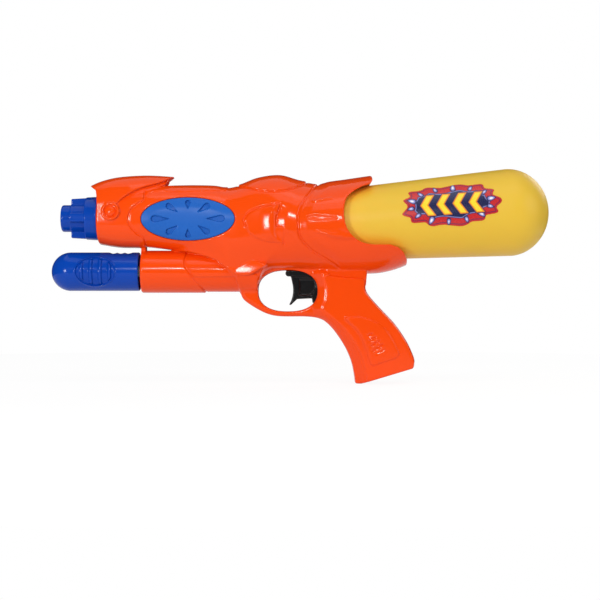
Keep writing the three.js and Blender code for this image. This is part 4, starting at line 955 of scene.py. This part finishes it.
def floor_finish():
    """Seamless white paper: nearly white to the camera, still darkened by the shadow."""
    material, tree = new_material("White paper sweep")
    rays = add(tree, "ShaderNodeLightPath").outputs
    mirrored = add(tree, "ShaderNodeMath", {"operation": "MAXIMUM"}, {
        0: rays["Is Glossy Ray"], 1: rays["Is Transmission Ray"],
    })
    share = add(tree, "ShaderNodeMath", {"operation": "MULTIPLY"}, {
        0: mirrored.outputs["Value"], 1: FLOOR_MIRRORED,
    })
    share = add(tree, "ShaderNodeMath", {"operation": "MULTIPLY_ADD"}, {
        0: rays["Is Camera Ray"], 1: FLOOR_SEEN, 2: share.outputs["Value"],
    })
    paper = add(tree, "ShaderNodeBsdfDiffuse", inputs={"Color": (0.9, 0.9, 0.9, 1)})
    glow = add(tree, "ShaderNodeEmission", inputs={"Color": (1, 1, 1, 1), "Strength": FLOOR_GLOW})
    blend = add(tree, "ShaderNodeMixShader", inputs={
        "Fac": share.outputs["Value"], 1: paper.outputs["BSDF"], 2: glow.outputs["Emission"],
    })
    add(tree, "ShaderNodeOutputMaterial", inputs={"Surface": blend.outputs["Shader"]})
    return material


def room_finish():
    """The unlit room behind the camera."""
    material, tree = new_material("Dark room")
    shader = add(tree, "ShaderNodeBsdfDiffuse", inputs={"Color": (*linear("#3A3A3C"), 1)})
    add(tree, "ShaderNodeOutputMaterial", inputs={"Surface": shader.outputs["BSDF"]})
    return material


# Operators


class SquirterOperator:
    """What the squirter's operators share"""

    bl_options = {"REGISTER", "UNDO"}

    @property
    def shape(self):
        return bpy.context.scene.squirter_shape

    @property
    def colours(self):
        return bpy.context.scene.squirter_colours


@contextmanager
def editing(made):
    """A mesh opened for editing, and written back."""
    bm = bmesh.new()
    bm.from_mesh(made.data)
    yield bm
    bm.to_mesh(made.data)
    bm.free()


def ends_of(edges):
    """The edges' points, each once and always in the same order."""
    return list(dict.fromkeys(vert for edge in edges for vert in edge.verts))


def halved(made, seam, groove):
    """Cuts a skin at the seam, keeps its right side, sinks its rim and closes it with a flat face."""
    with editing(made) as bm:
        parts = [*bm.verts, *bm.edges, *bm.faces]
        cut = {"plane_co": (0, seam / 2, 0), "plane_no": (0, 1, 0), "clear_inner": True}
        bmesh.ops.bisect_plane(bm, geom=parts, **cut)
        rim = [edge for edge in bm.edges if edge.is_boundary]
        bmesh.ops.remove_doubles(bm, verts=ends_of(rim), dist=RIM_MERGE)
        bm.normal_update()
        rim = [edge for edge in bm.edges if edge.is_boundary]
        for edge in rim:
            edge.smooth = False
        for vert in ends_of(rim):
            vert.co -= groove * Vector((vert.normal.x, 0, vert.normal.z)).normalized()
        flat = bmesh.ops.triangle_fill(bm, edges=rim, use_beauty=True, use_dissolve=False, normal=(0, -1, 0))
        for face in flat["geom"]:
            if isinstance(face, bmesh.types.BMFace):
                face.smooth = False
        bmesh.ops.recalc_face_normals(bm, faces=bm.faces)


def mirror(made):
    """Moves a right-hand mesh to the left-hand side."""
    with editing(made) as bm:
        bmesh.ops.scale(bm, vec=(1, -1, 1), verts=bm.verts)
        bmesh.ops.reverse_faces(bm, faces=bm.faces)


HOUSING_LOW, HOUSING_HIGH = (-170, -2, -2), (94, 38, 168)
RIM_MERGE, POLE_MERGE = 0.03 * MM, 0.01 * MM
HOLE_RADIUS, HOLE_FLOOR, HOLE_REACH, HOLE_EDGE = 3.2, 5.0, 2, 0.4


def holes(heads, x, y, z):
    """Round holes along Y down to the screws' seats."""
    across = np.min([np.hypot(x - head[0], z - head[2]) for head in heads], 0) - HOLE_RADIUS
    return np.maximum(across, HOLE_FLOOR - y)


class SQUIRTER_OT_housing(SquirterOperator, bpy.types.Operator):
    """Skins the two housing halves"""

    bl_idname = "squirter.housing"
    bl_label = "Build Housing"

    def execute(self, context):
        look = (orange_plastic(self.colours), "housing", "orange_plastic")
        field = housing_field(self.shape)
        step = self.shape.step / MM
        axes = grid_axes(HOUSING_LOW, HOUSING_HIGH, step)
        values = untangled(sampled(field, axes))
        index, points, faces = netted(values, axes)
        points = settled(field, points, step)
        left = piece("left_shell", points, faces, *look, ["left_housing"])
        # The right half keeps the left one's points, apart from those about its screw holes
        heads = [np.mean(mm_box(name), 0) for name in SCREWS]
        values = np.maximum(values, -holes(heads, *np.meshgrid(*axes, indexing="ij", sparse=True)))
        drilled_index, drilled, faces = netted(untangled(values), axes)
        both = (index >= 0) & (drilled_index >= 0)
        rims = np.abs(holes(heads, *drilled.T)) < HOLE_REACH
        drilled[drilled_index[both]] = points[index[both]]

        def bored(x, y, z):
            return carved(field(x, y, z), holes(heads, x, y, z), HOLE_EDGE)

        drilled[rims] = settled(bored, drilled[rims], step)
        right = piece("right_shell", drilled, faces, *look, ["right_housing"])
        for half in (left, right):
            halved(half, self.shape.seam, self.shape.groove)
        mirror(left)
        return {"FINISHED"}


class SQUIRTER_OT_panels(SquirterOperator, bpy.types.Operator):
    """Skins the oval panels"""

    bl_idname = "squirter.panels"
    bl_label = "Build Oval Panels"

    def execute(self, context):
        look = (panel_plastic(self.colours), "housing", "blue_plastic")
        low, high = mm_box("right_oval_panel")
        points, faces = skin(panel_field(self.shape), low - MARGIN, high + MARGIN, self.shape.fine / MM)
        piece("right_panel", points, faces, *look, ["right_oval_panel"])
        piece("left_panel", points * (1, -1, 1), faces[:, ::-1], *look, ["left_oval_panel"])
        return {"FINISHED"}


class SQUIRTER_OT_controls(SquirterOperator, bpy.types.Operator):
    """Skins the nozzle cap, the pump handle and the trigger"""

    bl_idname = "squirter.controls"
    bl_label = "Build Controls"

    def execute(self, context):
        blue, black = blue_plastic(self.colours), black_plastic(self.colours)
        fine = self.shape.fine / MM
        made = skin(cap_field, CAP_LOW - MARGIN, CAP_HIGH + MARGIN, fine)
        piece("nozzle", *made, blue, "nozzle", "blue_plastic", ["nozzle_cap"])
        made = skin(handle_field, HANDLE_LOW - MARGIN, HANDLE_HIGH + MARGIN, fine)
        piece("handle", *made, blue, "pump", "blue_plastic", ["pump_handle"])
        low, high = (PIVOT_X - 14, -8, PIVOT_Z - 36), (PIVOT_X + 30, 8, PIVOT_Z + 7)
        made = skin(trigger_field(), low, high, fine)
        piece("lever", *made, black, "trigger", "black_plastic", ["trigger"])
        return {"FINISHED"}


TANK_SIDES, TANK_POLE = 256, 1e-3
RIDGE_WIDTH, RIDGE_HEIGHT = 0.7, 0.12


def placed(points):
    """Points from the tank's own axes into the frame."""
    u, y, w = points.T
    return np.stack([NECK_X + u * AXIS_X - w * AXIS_Z, y, NECK_Z + u * AXIS_Z + w * AXIS_X], 1)


class SQUIRTER_OT_tank(SquirterOperator, bpy.types.Operator):
    """Turns the blown tank, with its parting line"""

    bl_idname = "squirter.tank"
    bl_label = "Build Tank"

    def execute(self, context):
        (neck, shoulder), start = SHOULDER_U, TANK_LENGTH - TANK_ROUND
        along = np.concatenate([
            np.linspace(0, neck, 8),
            neck + (shoulder - neck) * (1 - np.cos(np.linspace(0.1, np.pi / 2, 24))),
            np.linspace(shoulder, start, 60)[1:],
            start + TANK_ROUND * np.sin(np.linspace(0, np.pi / 2, 40))[1:],
        ])
        radius = tank_radius(along)
        radius[-1] = TANK_POLE
        wall = self.shape.tank / MM
        inner = np.minimum(along, TANK_LENGTH - wall), np.maximum(radius - wall, TANK_POLE)
        points, faces = revolved([*zip(along, radius), *zip(*(side[::-1] for side in inner))], TANK_SIDES)
        ridge = np.exp(-((points[:, 1] / RIDGE_WIDTH) ** 2)) * (np.abs(points[:, 2]) > 5)
        points[:, 2] += RIDGE_HEIGHT * ridge * np.sign(points[:, 2])
        material = yellow_plastic(self.colours)
        bottle = piece("bottle", placed(points), faces, material, "tank", "yellow_plastic", ["tank"])
        with editing(bottle) as bm:
            bmesh.ops.remove_doubles(bm, verts=bm.verts, dist=POLE_MERGE)
            bmesh.ops.delete(bm, geom=[edge for edge in bm.edges if edge.is_wire], context="EDGES")
        return {"FINISHED"}


# The sticker's design, in millimetres about its middle
INKS = {name: np.array(linear(code)) for name, code in {
    "red": "#C6252B", "navy": "#1E2350", "yellow": "#F6DC2E",
    "amber": "#F08A22", "white": "#F3F0F4", "lilac": "#8F90D4",
}.items()}
STICKER_AT, STICKER_HALF = (117.2, 8.7), (40, 18.6)
STICKER_GRID, STICKER_LIFT, STICKER_SPANS = 0.3, 0.02, ((-40.2, 40.3), (-18.9, 19))
DROPS, DROP_RING, DROP_RADIUS = 14, (0.79, 0.76), 1.1
ARROWS, ARROW_TALL, ARROW_THICK, ARROW_LEAN = (-24, -11.5, 1, 13.5), 8.6, 6.4, 5.5
# Inks laid over each other, and how far inside an outline each begins
GROUND_INKS = (("navy", 1.5), ("red", 2.0), ("navy", 6.2), ("lilac", 6.7), ("navy", 7.2))
DROP_INKS = (("navy", -0.6), ("lilac", 0), ("white", 0.7))
ARROW_INKS = (("navy", -0.7), ("amber", 0), ("yellow", 0.9))
INK_EDGE = 0.3


def splash():
    """A wide outline with rounded waves."""
    turn = np.linspace(0, math.tau, 180, endpoint=False)
    reach = 0.92 + 0.05 * np.cos(13 * turn) + 0.03 * np.cos(5 * turn + 1)
    corner = np.stack([np.cos(turn), np.sin(turn)], 1)
    return reach[:, None] * np.abs(corner) ** 0.8 * np.sign(corner) * STICKER_HALF


def chevron(at):
    """Outline of an arrow that points ahead."""
    near, far = at + ARROW_LEAN, at + ARROW_LEAN + ARROW_THICK
    upper, lower = [(near, ARROW_TALL), (far, ARROW_TALL)], [(far, -ARROW_TALL), (near, -ARROW_TALL)]
    return [(at, 0), *upper, (at + ARROW_THICK, 0), *lower]


def painted(colour, inks, distance):
    """Colour with inks laid inside an outline."""
    for ink, inset in inks:
        cover = np.clip(0.5 - (distance + inset) / INK_EDGE, 0, 1)[..., None]
        colour = colour * (1 - cover) + INKS[ink] * cover
    return colour


def sticker_colours(a, b):
    """Printed colours on the sticker's grid."""
    ground = np.broadcast_to(INKS["red"], (*a.shape, 3))
    colour = painted(ground, GROUND_INKS, outline_distance(splash(), a, b))
    for i in range(DROPS):
        turn = math.tau * (i + 0.3) / DROPS
        out = np.array([math.cos(turn), math.sin(turn)])
        da, db = (v - ring * half * o for v, ring, half, o in zip((a, b), DROP_RING, STICKER_HALF, out))
        along, across = da * out[0] + db * out[1], db * out[0] - da * out[1]
        drop = np.hypot(0.55 * along, across * (1 + 0.12 * np.clip(along, -3, 3)))
        colour = painted(colour, DROP_INKS, drop - DROP_RADIUS - 0.4 * (i % 3 == 0))
    for at in ARROWS:
        colour = painted(colour, ARROW_INKS, outline_distance(chevron(at), a, b))
    return colour


class SQUIRTER_OT_sticker(SquirterOperator, bpy.types.Operator):
    """Wraps a printed sticker on the left of the tank"""

    bl_idname = "squirter.sticker"
    bl_label = "Build Sticker"

    def execute(self, context):
        spans = [np.arange(low, high, STICKER_GRID) for low, high in STICKER_SPANS]
        a, b = np.meshgrid(*spans, indexing="ij")
        held = outline_distance(splash(), a, b) < 0
        cells = np.all(cell_corners(held), 0)
        index = np.arange(a.size).reshape(a.shape)
        top = np.stack([corner[cells] for corner in cell_corners(index)], 1)
        used, flat = np.unique(top, return_inverse=True)
        top, count = flat.reshape(-1, 4), len(used)
        a, b = a.ravel()[used], b.ravel()[used]
        u = STICKER_AT[0] + a
        radius = tank_radius(u)
        angle = (STICKER_AT[1] + b) / radius
        layers = [
            np.stack([u, -(radius + lift) * np.cos(angle), (radius + lift) * np.sin(angle)], 1)
            for lift in (self.shape.sticker / MM, STICKER_LIFT)
        ]
        first, second = np.concatenate([top[:, [i, (i + 1) % 4]] for i in range(4)]).T
        rim = ~np.isin(second * count + first, first * count + second)
        first, second = first[rim], second[rim]
        sides = np.stack([second, first, first + count, second + count], 1)
        faces = np.concatenate([top, top[:, ::-1] + count, sides])
        points = placed(np.concatenate(layers))
        made = piece("tank_sticker", points, faces, printed_film(), "tank", "yellow_plastic")
        ink = made.data.color_attributes.new("ink", "FLOAT_COLOR", "POINT")
        colour = np.tile(sticker_colours(a, b), (2, 1))
        ink.data.foreach_set("color", np.concatenate([colour, np.ones((len(colour), 1))], 1).ravel())
        return {"FINISHED"}


def screw_layout():
    """Node group that sets one screw on every point."""
    tree = bpy.data.node_groups.new("Screw layout", "GeometryNodeTree")
    for name, kind in (("Places", "Geometry"), ("Screw", "Object"), ("Finish", "Material")):
        tree.interface.new_socket(name, in_out="INPUT", socket_type=f"NodeSocket{kind}")
    tree.interface.new_socket("Screws", in_out="OUTPUT", socket_type="NodeSocketGeometry")
    given = add(tree, "NodeGroupInput").outputs
    screw = add(tree, "GeometryNodeObjectInfo", inputs={"Object": given["Screw"]})
    any_turn = {"Min": (0, 0, 0), "Max": (0, math.tau, 0), "Seed": 4}
    turn = add(tree, "FunctionNodeRandomValue", {"data_type": "FLOAT_VECTOR"}, any_turn)
    set_out = add(tree, "GeometryNodeInstanceOnPoints", inputs={
        "Points": given["Places"], "Instance": screw.outputs["Geometry"], "Rotation": turn.outputs["Value"],
    })
    real = add(tree, "GeometryNodeRealizeInstances", inputs={"Geometry": set_out.outputs["Instances"]})
    plating = {"Geometry": real.outputs["Geometry"], "Material": given["Finish"]}
    plated = add(tree, "GeometryNodeSetMaterial", inputs=plating)
    add(tree, "NodeGroupOutput", inputs={"Screws": plated.outputs["Geometry"]})
    return tree


class SQUIRTER_OT_screws(SquirterOperator, bpy.types.Operator):
    """Sets a screw in every hole of the right half"""

    bl_idname = "squirter.screws"
    bl_label = "Build Screws"

    def execute(self, context):
        boxes = [mm_box(name) for name in SCREWS]
        seat = boxes[0][1][1] - HEAD_HEIGHT
        length = seat - boxes[0][0][1]
        reach = HEAD_RADIUS + 0.7
        low, high = (-reach, -length - 1, -reach), (reach, HEAD_HEIGHT + 0.9, reach)
        screw = mesh_object("Screw", *skin(screw_field(length), low, high, SCREW_STEP))
        middles = [np.mean(box, 0) for box in boxes]
        made = linked(mesh_object("housing_screws", [(m[0], seat, m[2]) for m in middles]))
        modifier = made.modifiers.new("Screw layout", "NODES")
        modifier.node_group = screw_layout()
        values = {"Screw": screw, "Finish": zinc_steel()}
        for socket in modifier.node_group.interface.items_tree:
            if socket.name in values:
                modifier[socket.identifier] = values[socket.name]
        ready = made.evaluated_get(context.evaluated_depsgraph_get())
        made.data = bpy.data.meshes.new_from_object(ready)
        made.modifiers.clear()
        bpy.data.objects.remove(screw)
        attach(made, "housing")
        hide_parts(*SCREWS)
        return {"FINISHED"}


class SQUIRTER_OT_works(SquirterOperator, bpy.types.Operator):
    """Finishes the works that stay as they are in the frame"""

    bl_idname = "squirter.works"
    bl_label = "Finish Works"

    def execute(self, context):
        pump = ["pump_rod", "pump_piston", "pump_cylinder", "pump_gland", "cylinder_end_cap"]
        finishes = {
            natural_plastic(self.colours): ["nozzle_spigot", *pump, "tank_connector"],
            seal_rubber(self.colours): ["nozzle_seal", "piston_seal", "check_valve", "tank_washer"],
            vinyl_tube(self.colours): ["water_hose", "air_hose", "dip_tube"],
            zinc_steel(): ["trigger_pin", "trigger_spring"],
        }
        for material, nodes in finishes.items():
            for name in nodes:
                frame["nodes"][name].data.materials.clear()
                frame["nodes"][name].data.materials.append(material)
        return {"FINISHED"}


# The stage, in millimetres
FLOOR_RADIUS, ROOM_RADIUS, ROOM_HEIGHTS, STAGE_SIDES = 700, 2200, (-400, 3600), 48
# Place, point faced, width and height in metres, and power in watts
LAMPS = {
    "key": ((-0.78, -1.16, 0.18), (0, 0, 0.1), (0.2, 0.23), 6.6),
    "window": ((-0.18, -1.35, 0.5), (0, 0, 0.1), (0.18, 0.09), 3.2),
    "side": ((1.3, -0.6, 0.5), (0.1, 0, 0.1), (0.8, 0.8), 3.5),
    "fill": ((0.3, -1.0, 1.7), (0, 0, 0.1), (1.4, 1.0), 6),
    "back": ((1.1, 1.2, 0.9), (0, 0, 0.1), (0.8, 0.8), 5.5),
}
# What the world lights with, and how bright it is seen, directly or in reflections
WORLD_LIGHT, WORLD_SEEN = 0.42, 1.0
CAMERA_BACK, CAMERA_UP, PICTURE_WIDTH = 1.1, 0.0666, 0.48


def card(name, points, faces, material):
    """A stage piece of flat faces."""
    made = linked(mesh_object(name, points, faces, material))
    made.data.shade_flat()
    return made


def white_world():
    """A white sweep that lights less than it shows."""
    world = bpy.data.worlds.new("White sweep")
    world.use_nodes = True
    tree = world.node_tree
    tree.nodes.clear()
    rays = add(tree, "ShaderNodeLightPath").outputs
    seen = add(tree, "ShaderNodeMath", {"operation": "MAXIMUM"}, {
        0: rays["Is Camera Ray"], 1: rays["Is Glossy Ray"],
    })
    seen = add(tree, "ShaderNodeMath", {"operation": "MAXIMUM"}, {
        0: seen.outputs["Value"], 1: rays["Is Transmission Ray"],
    })
    level = add(tree, "ShaderNodeMapRange", inputs={
        "Value": seen.outputs["Value"], "To Min": WORLD_LIGHT, "To Max": WORLD_SEEN,
    })
    sky = add(tree, "ShaderNodeBackground", inputs={
        "Color": (1, 1, 1, 1), "Strength": level.outputs["Result"],
    })
    add(tree, "ShaderNodeOutputWorld", inputs={"Surface": sky.outputs["Background"]})
    return world


def softbox(name, place, aim, size, watts):
    """An area lamp that faces a point."""
    data = bpy.data.lights.new(name, "AREA")
    data.energy, data.shape, data.size, data.size_y = watts, "RECTANGLE", *size
    made = linked(bpy.data.objects.new(name, data))
    made.location = place
    made.rotation_euler = (Vector(aim) - Vector(place)).to_track_quat("-Z", "Y").to_euler()


class SQUIRTER_OT_stage(SquirterOperator, bpy.types.Operator):
    """Sets the floor, the world, the lamps and the camera"""

    bl_idname = "squirter.stage"
    bl_label = "Build Stage"

    def execute(self, context):
        scene = context.scene
        turns = np.linspace(0, math.tau, STAGE_SIDES, endpoint=False)
        rim = np.stack([np.cos(turns), np.sin(turns), 0 * turns], 1)
        around = np.arange(STAGE_SIDES)
        card("floor", FLOOR_RADIUS * rim, [around], floor_finish())
        wall = np.concatenate([ROOM_RADIUS * rim + (0, 0, up) for up in ROOM_HEIGHTS])
        ahead = (around + 1) % STAGE_SIDES
        sides = np.stack([around, ahead, ahead + STAGE_SIDES, around + STAGE_SIDES], 1)
        room = card("room", wall, sides, room_finish())
        room.visible_camera = room.visible_diffuse = room.visible_shadow = False
        scene.world = white_world()
        for name, settings in LAMPS.items():
            softbox(name, *settings)
        lens = bpy.data.cameras.new("camera")
        lens.sensor_width = 36
        lens.lens = lens.sensor_width * CAMERA_BACK / PICTURE_WIDTH
        scene.camera = linked(bpy.data.objects.new("camera", lens))
        scene.camera.location = (0, -CAMERA_BACK, CAMERA_UP)
        scene.camera.rotation_euler = (math.pi / 2, 0, 0)
        scene.view_settings.view_transform = "Standard"
        return {"FINISHED"}


BUILDERS = (
    SQUIRTER_OT_housing,
    SQUIRTER_OT_panels,
    SQUIRTER_OT_controls,
    SQUIRTER_OT_tank,
    SQUIRTER_OT_sticker,
    SQUIRTER_OT_screws,
    SQUIRTER_OT_works,
    SQUIRTER_OT_stage,
)


class SQUIRTER_PT_panel(bpy.types.Panel):
    """Sizes, colours and builders of the squirter"""

    bl_idname = "SQUIRTER_PT_panel"
    bl_label = "Water Squirter"
    bl_space_type = "VIEW_3D"
    bl_region_type = "UI"
    bl_category = "Squirter"

    def draw(self, context):
        for group in (context.scene.squirter_shape, context.scene.squirter_colours):
            box = self.layout.box()
            for name in group.__annotations__:
                box.prop(group, name)
        for builder in BUILDERS:
            self.layout.operator(builder.bl_idname)


CLASSES = (SquirterShape, SquirterColours, *BUILDERS, SQUIRTER_PT_panel)


def register():
    for cls in CLASSES:
        bpy.utils.register_class(cls)
    bpy.types.Scene.squirter_shape = PointerProperty(type=SquirterShape)
    bpy.types.Scene.squirter_colours = PointerProperty(type=SquirterColours)


def unregister():
    del bpy.types.Scene.squirter_colours
    del bpy.types.Scene.squirter_shape
    for cls in reversed(CLASSES):
        bpy.utils.unregister_class(cls)


def main():
    register()
    for builder in BUILDERS:
        group, name = builder.bl_idname.split(".")
        getattr(getattr(bpy.ops, group), name)()
    bpy.context.view_layer.update()


if __name__ == "__main__":
    main()
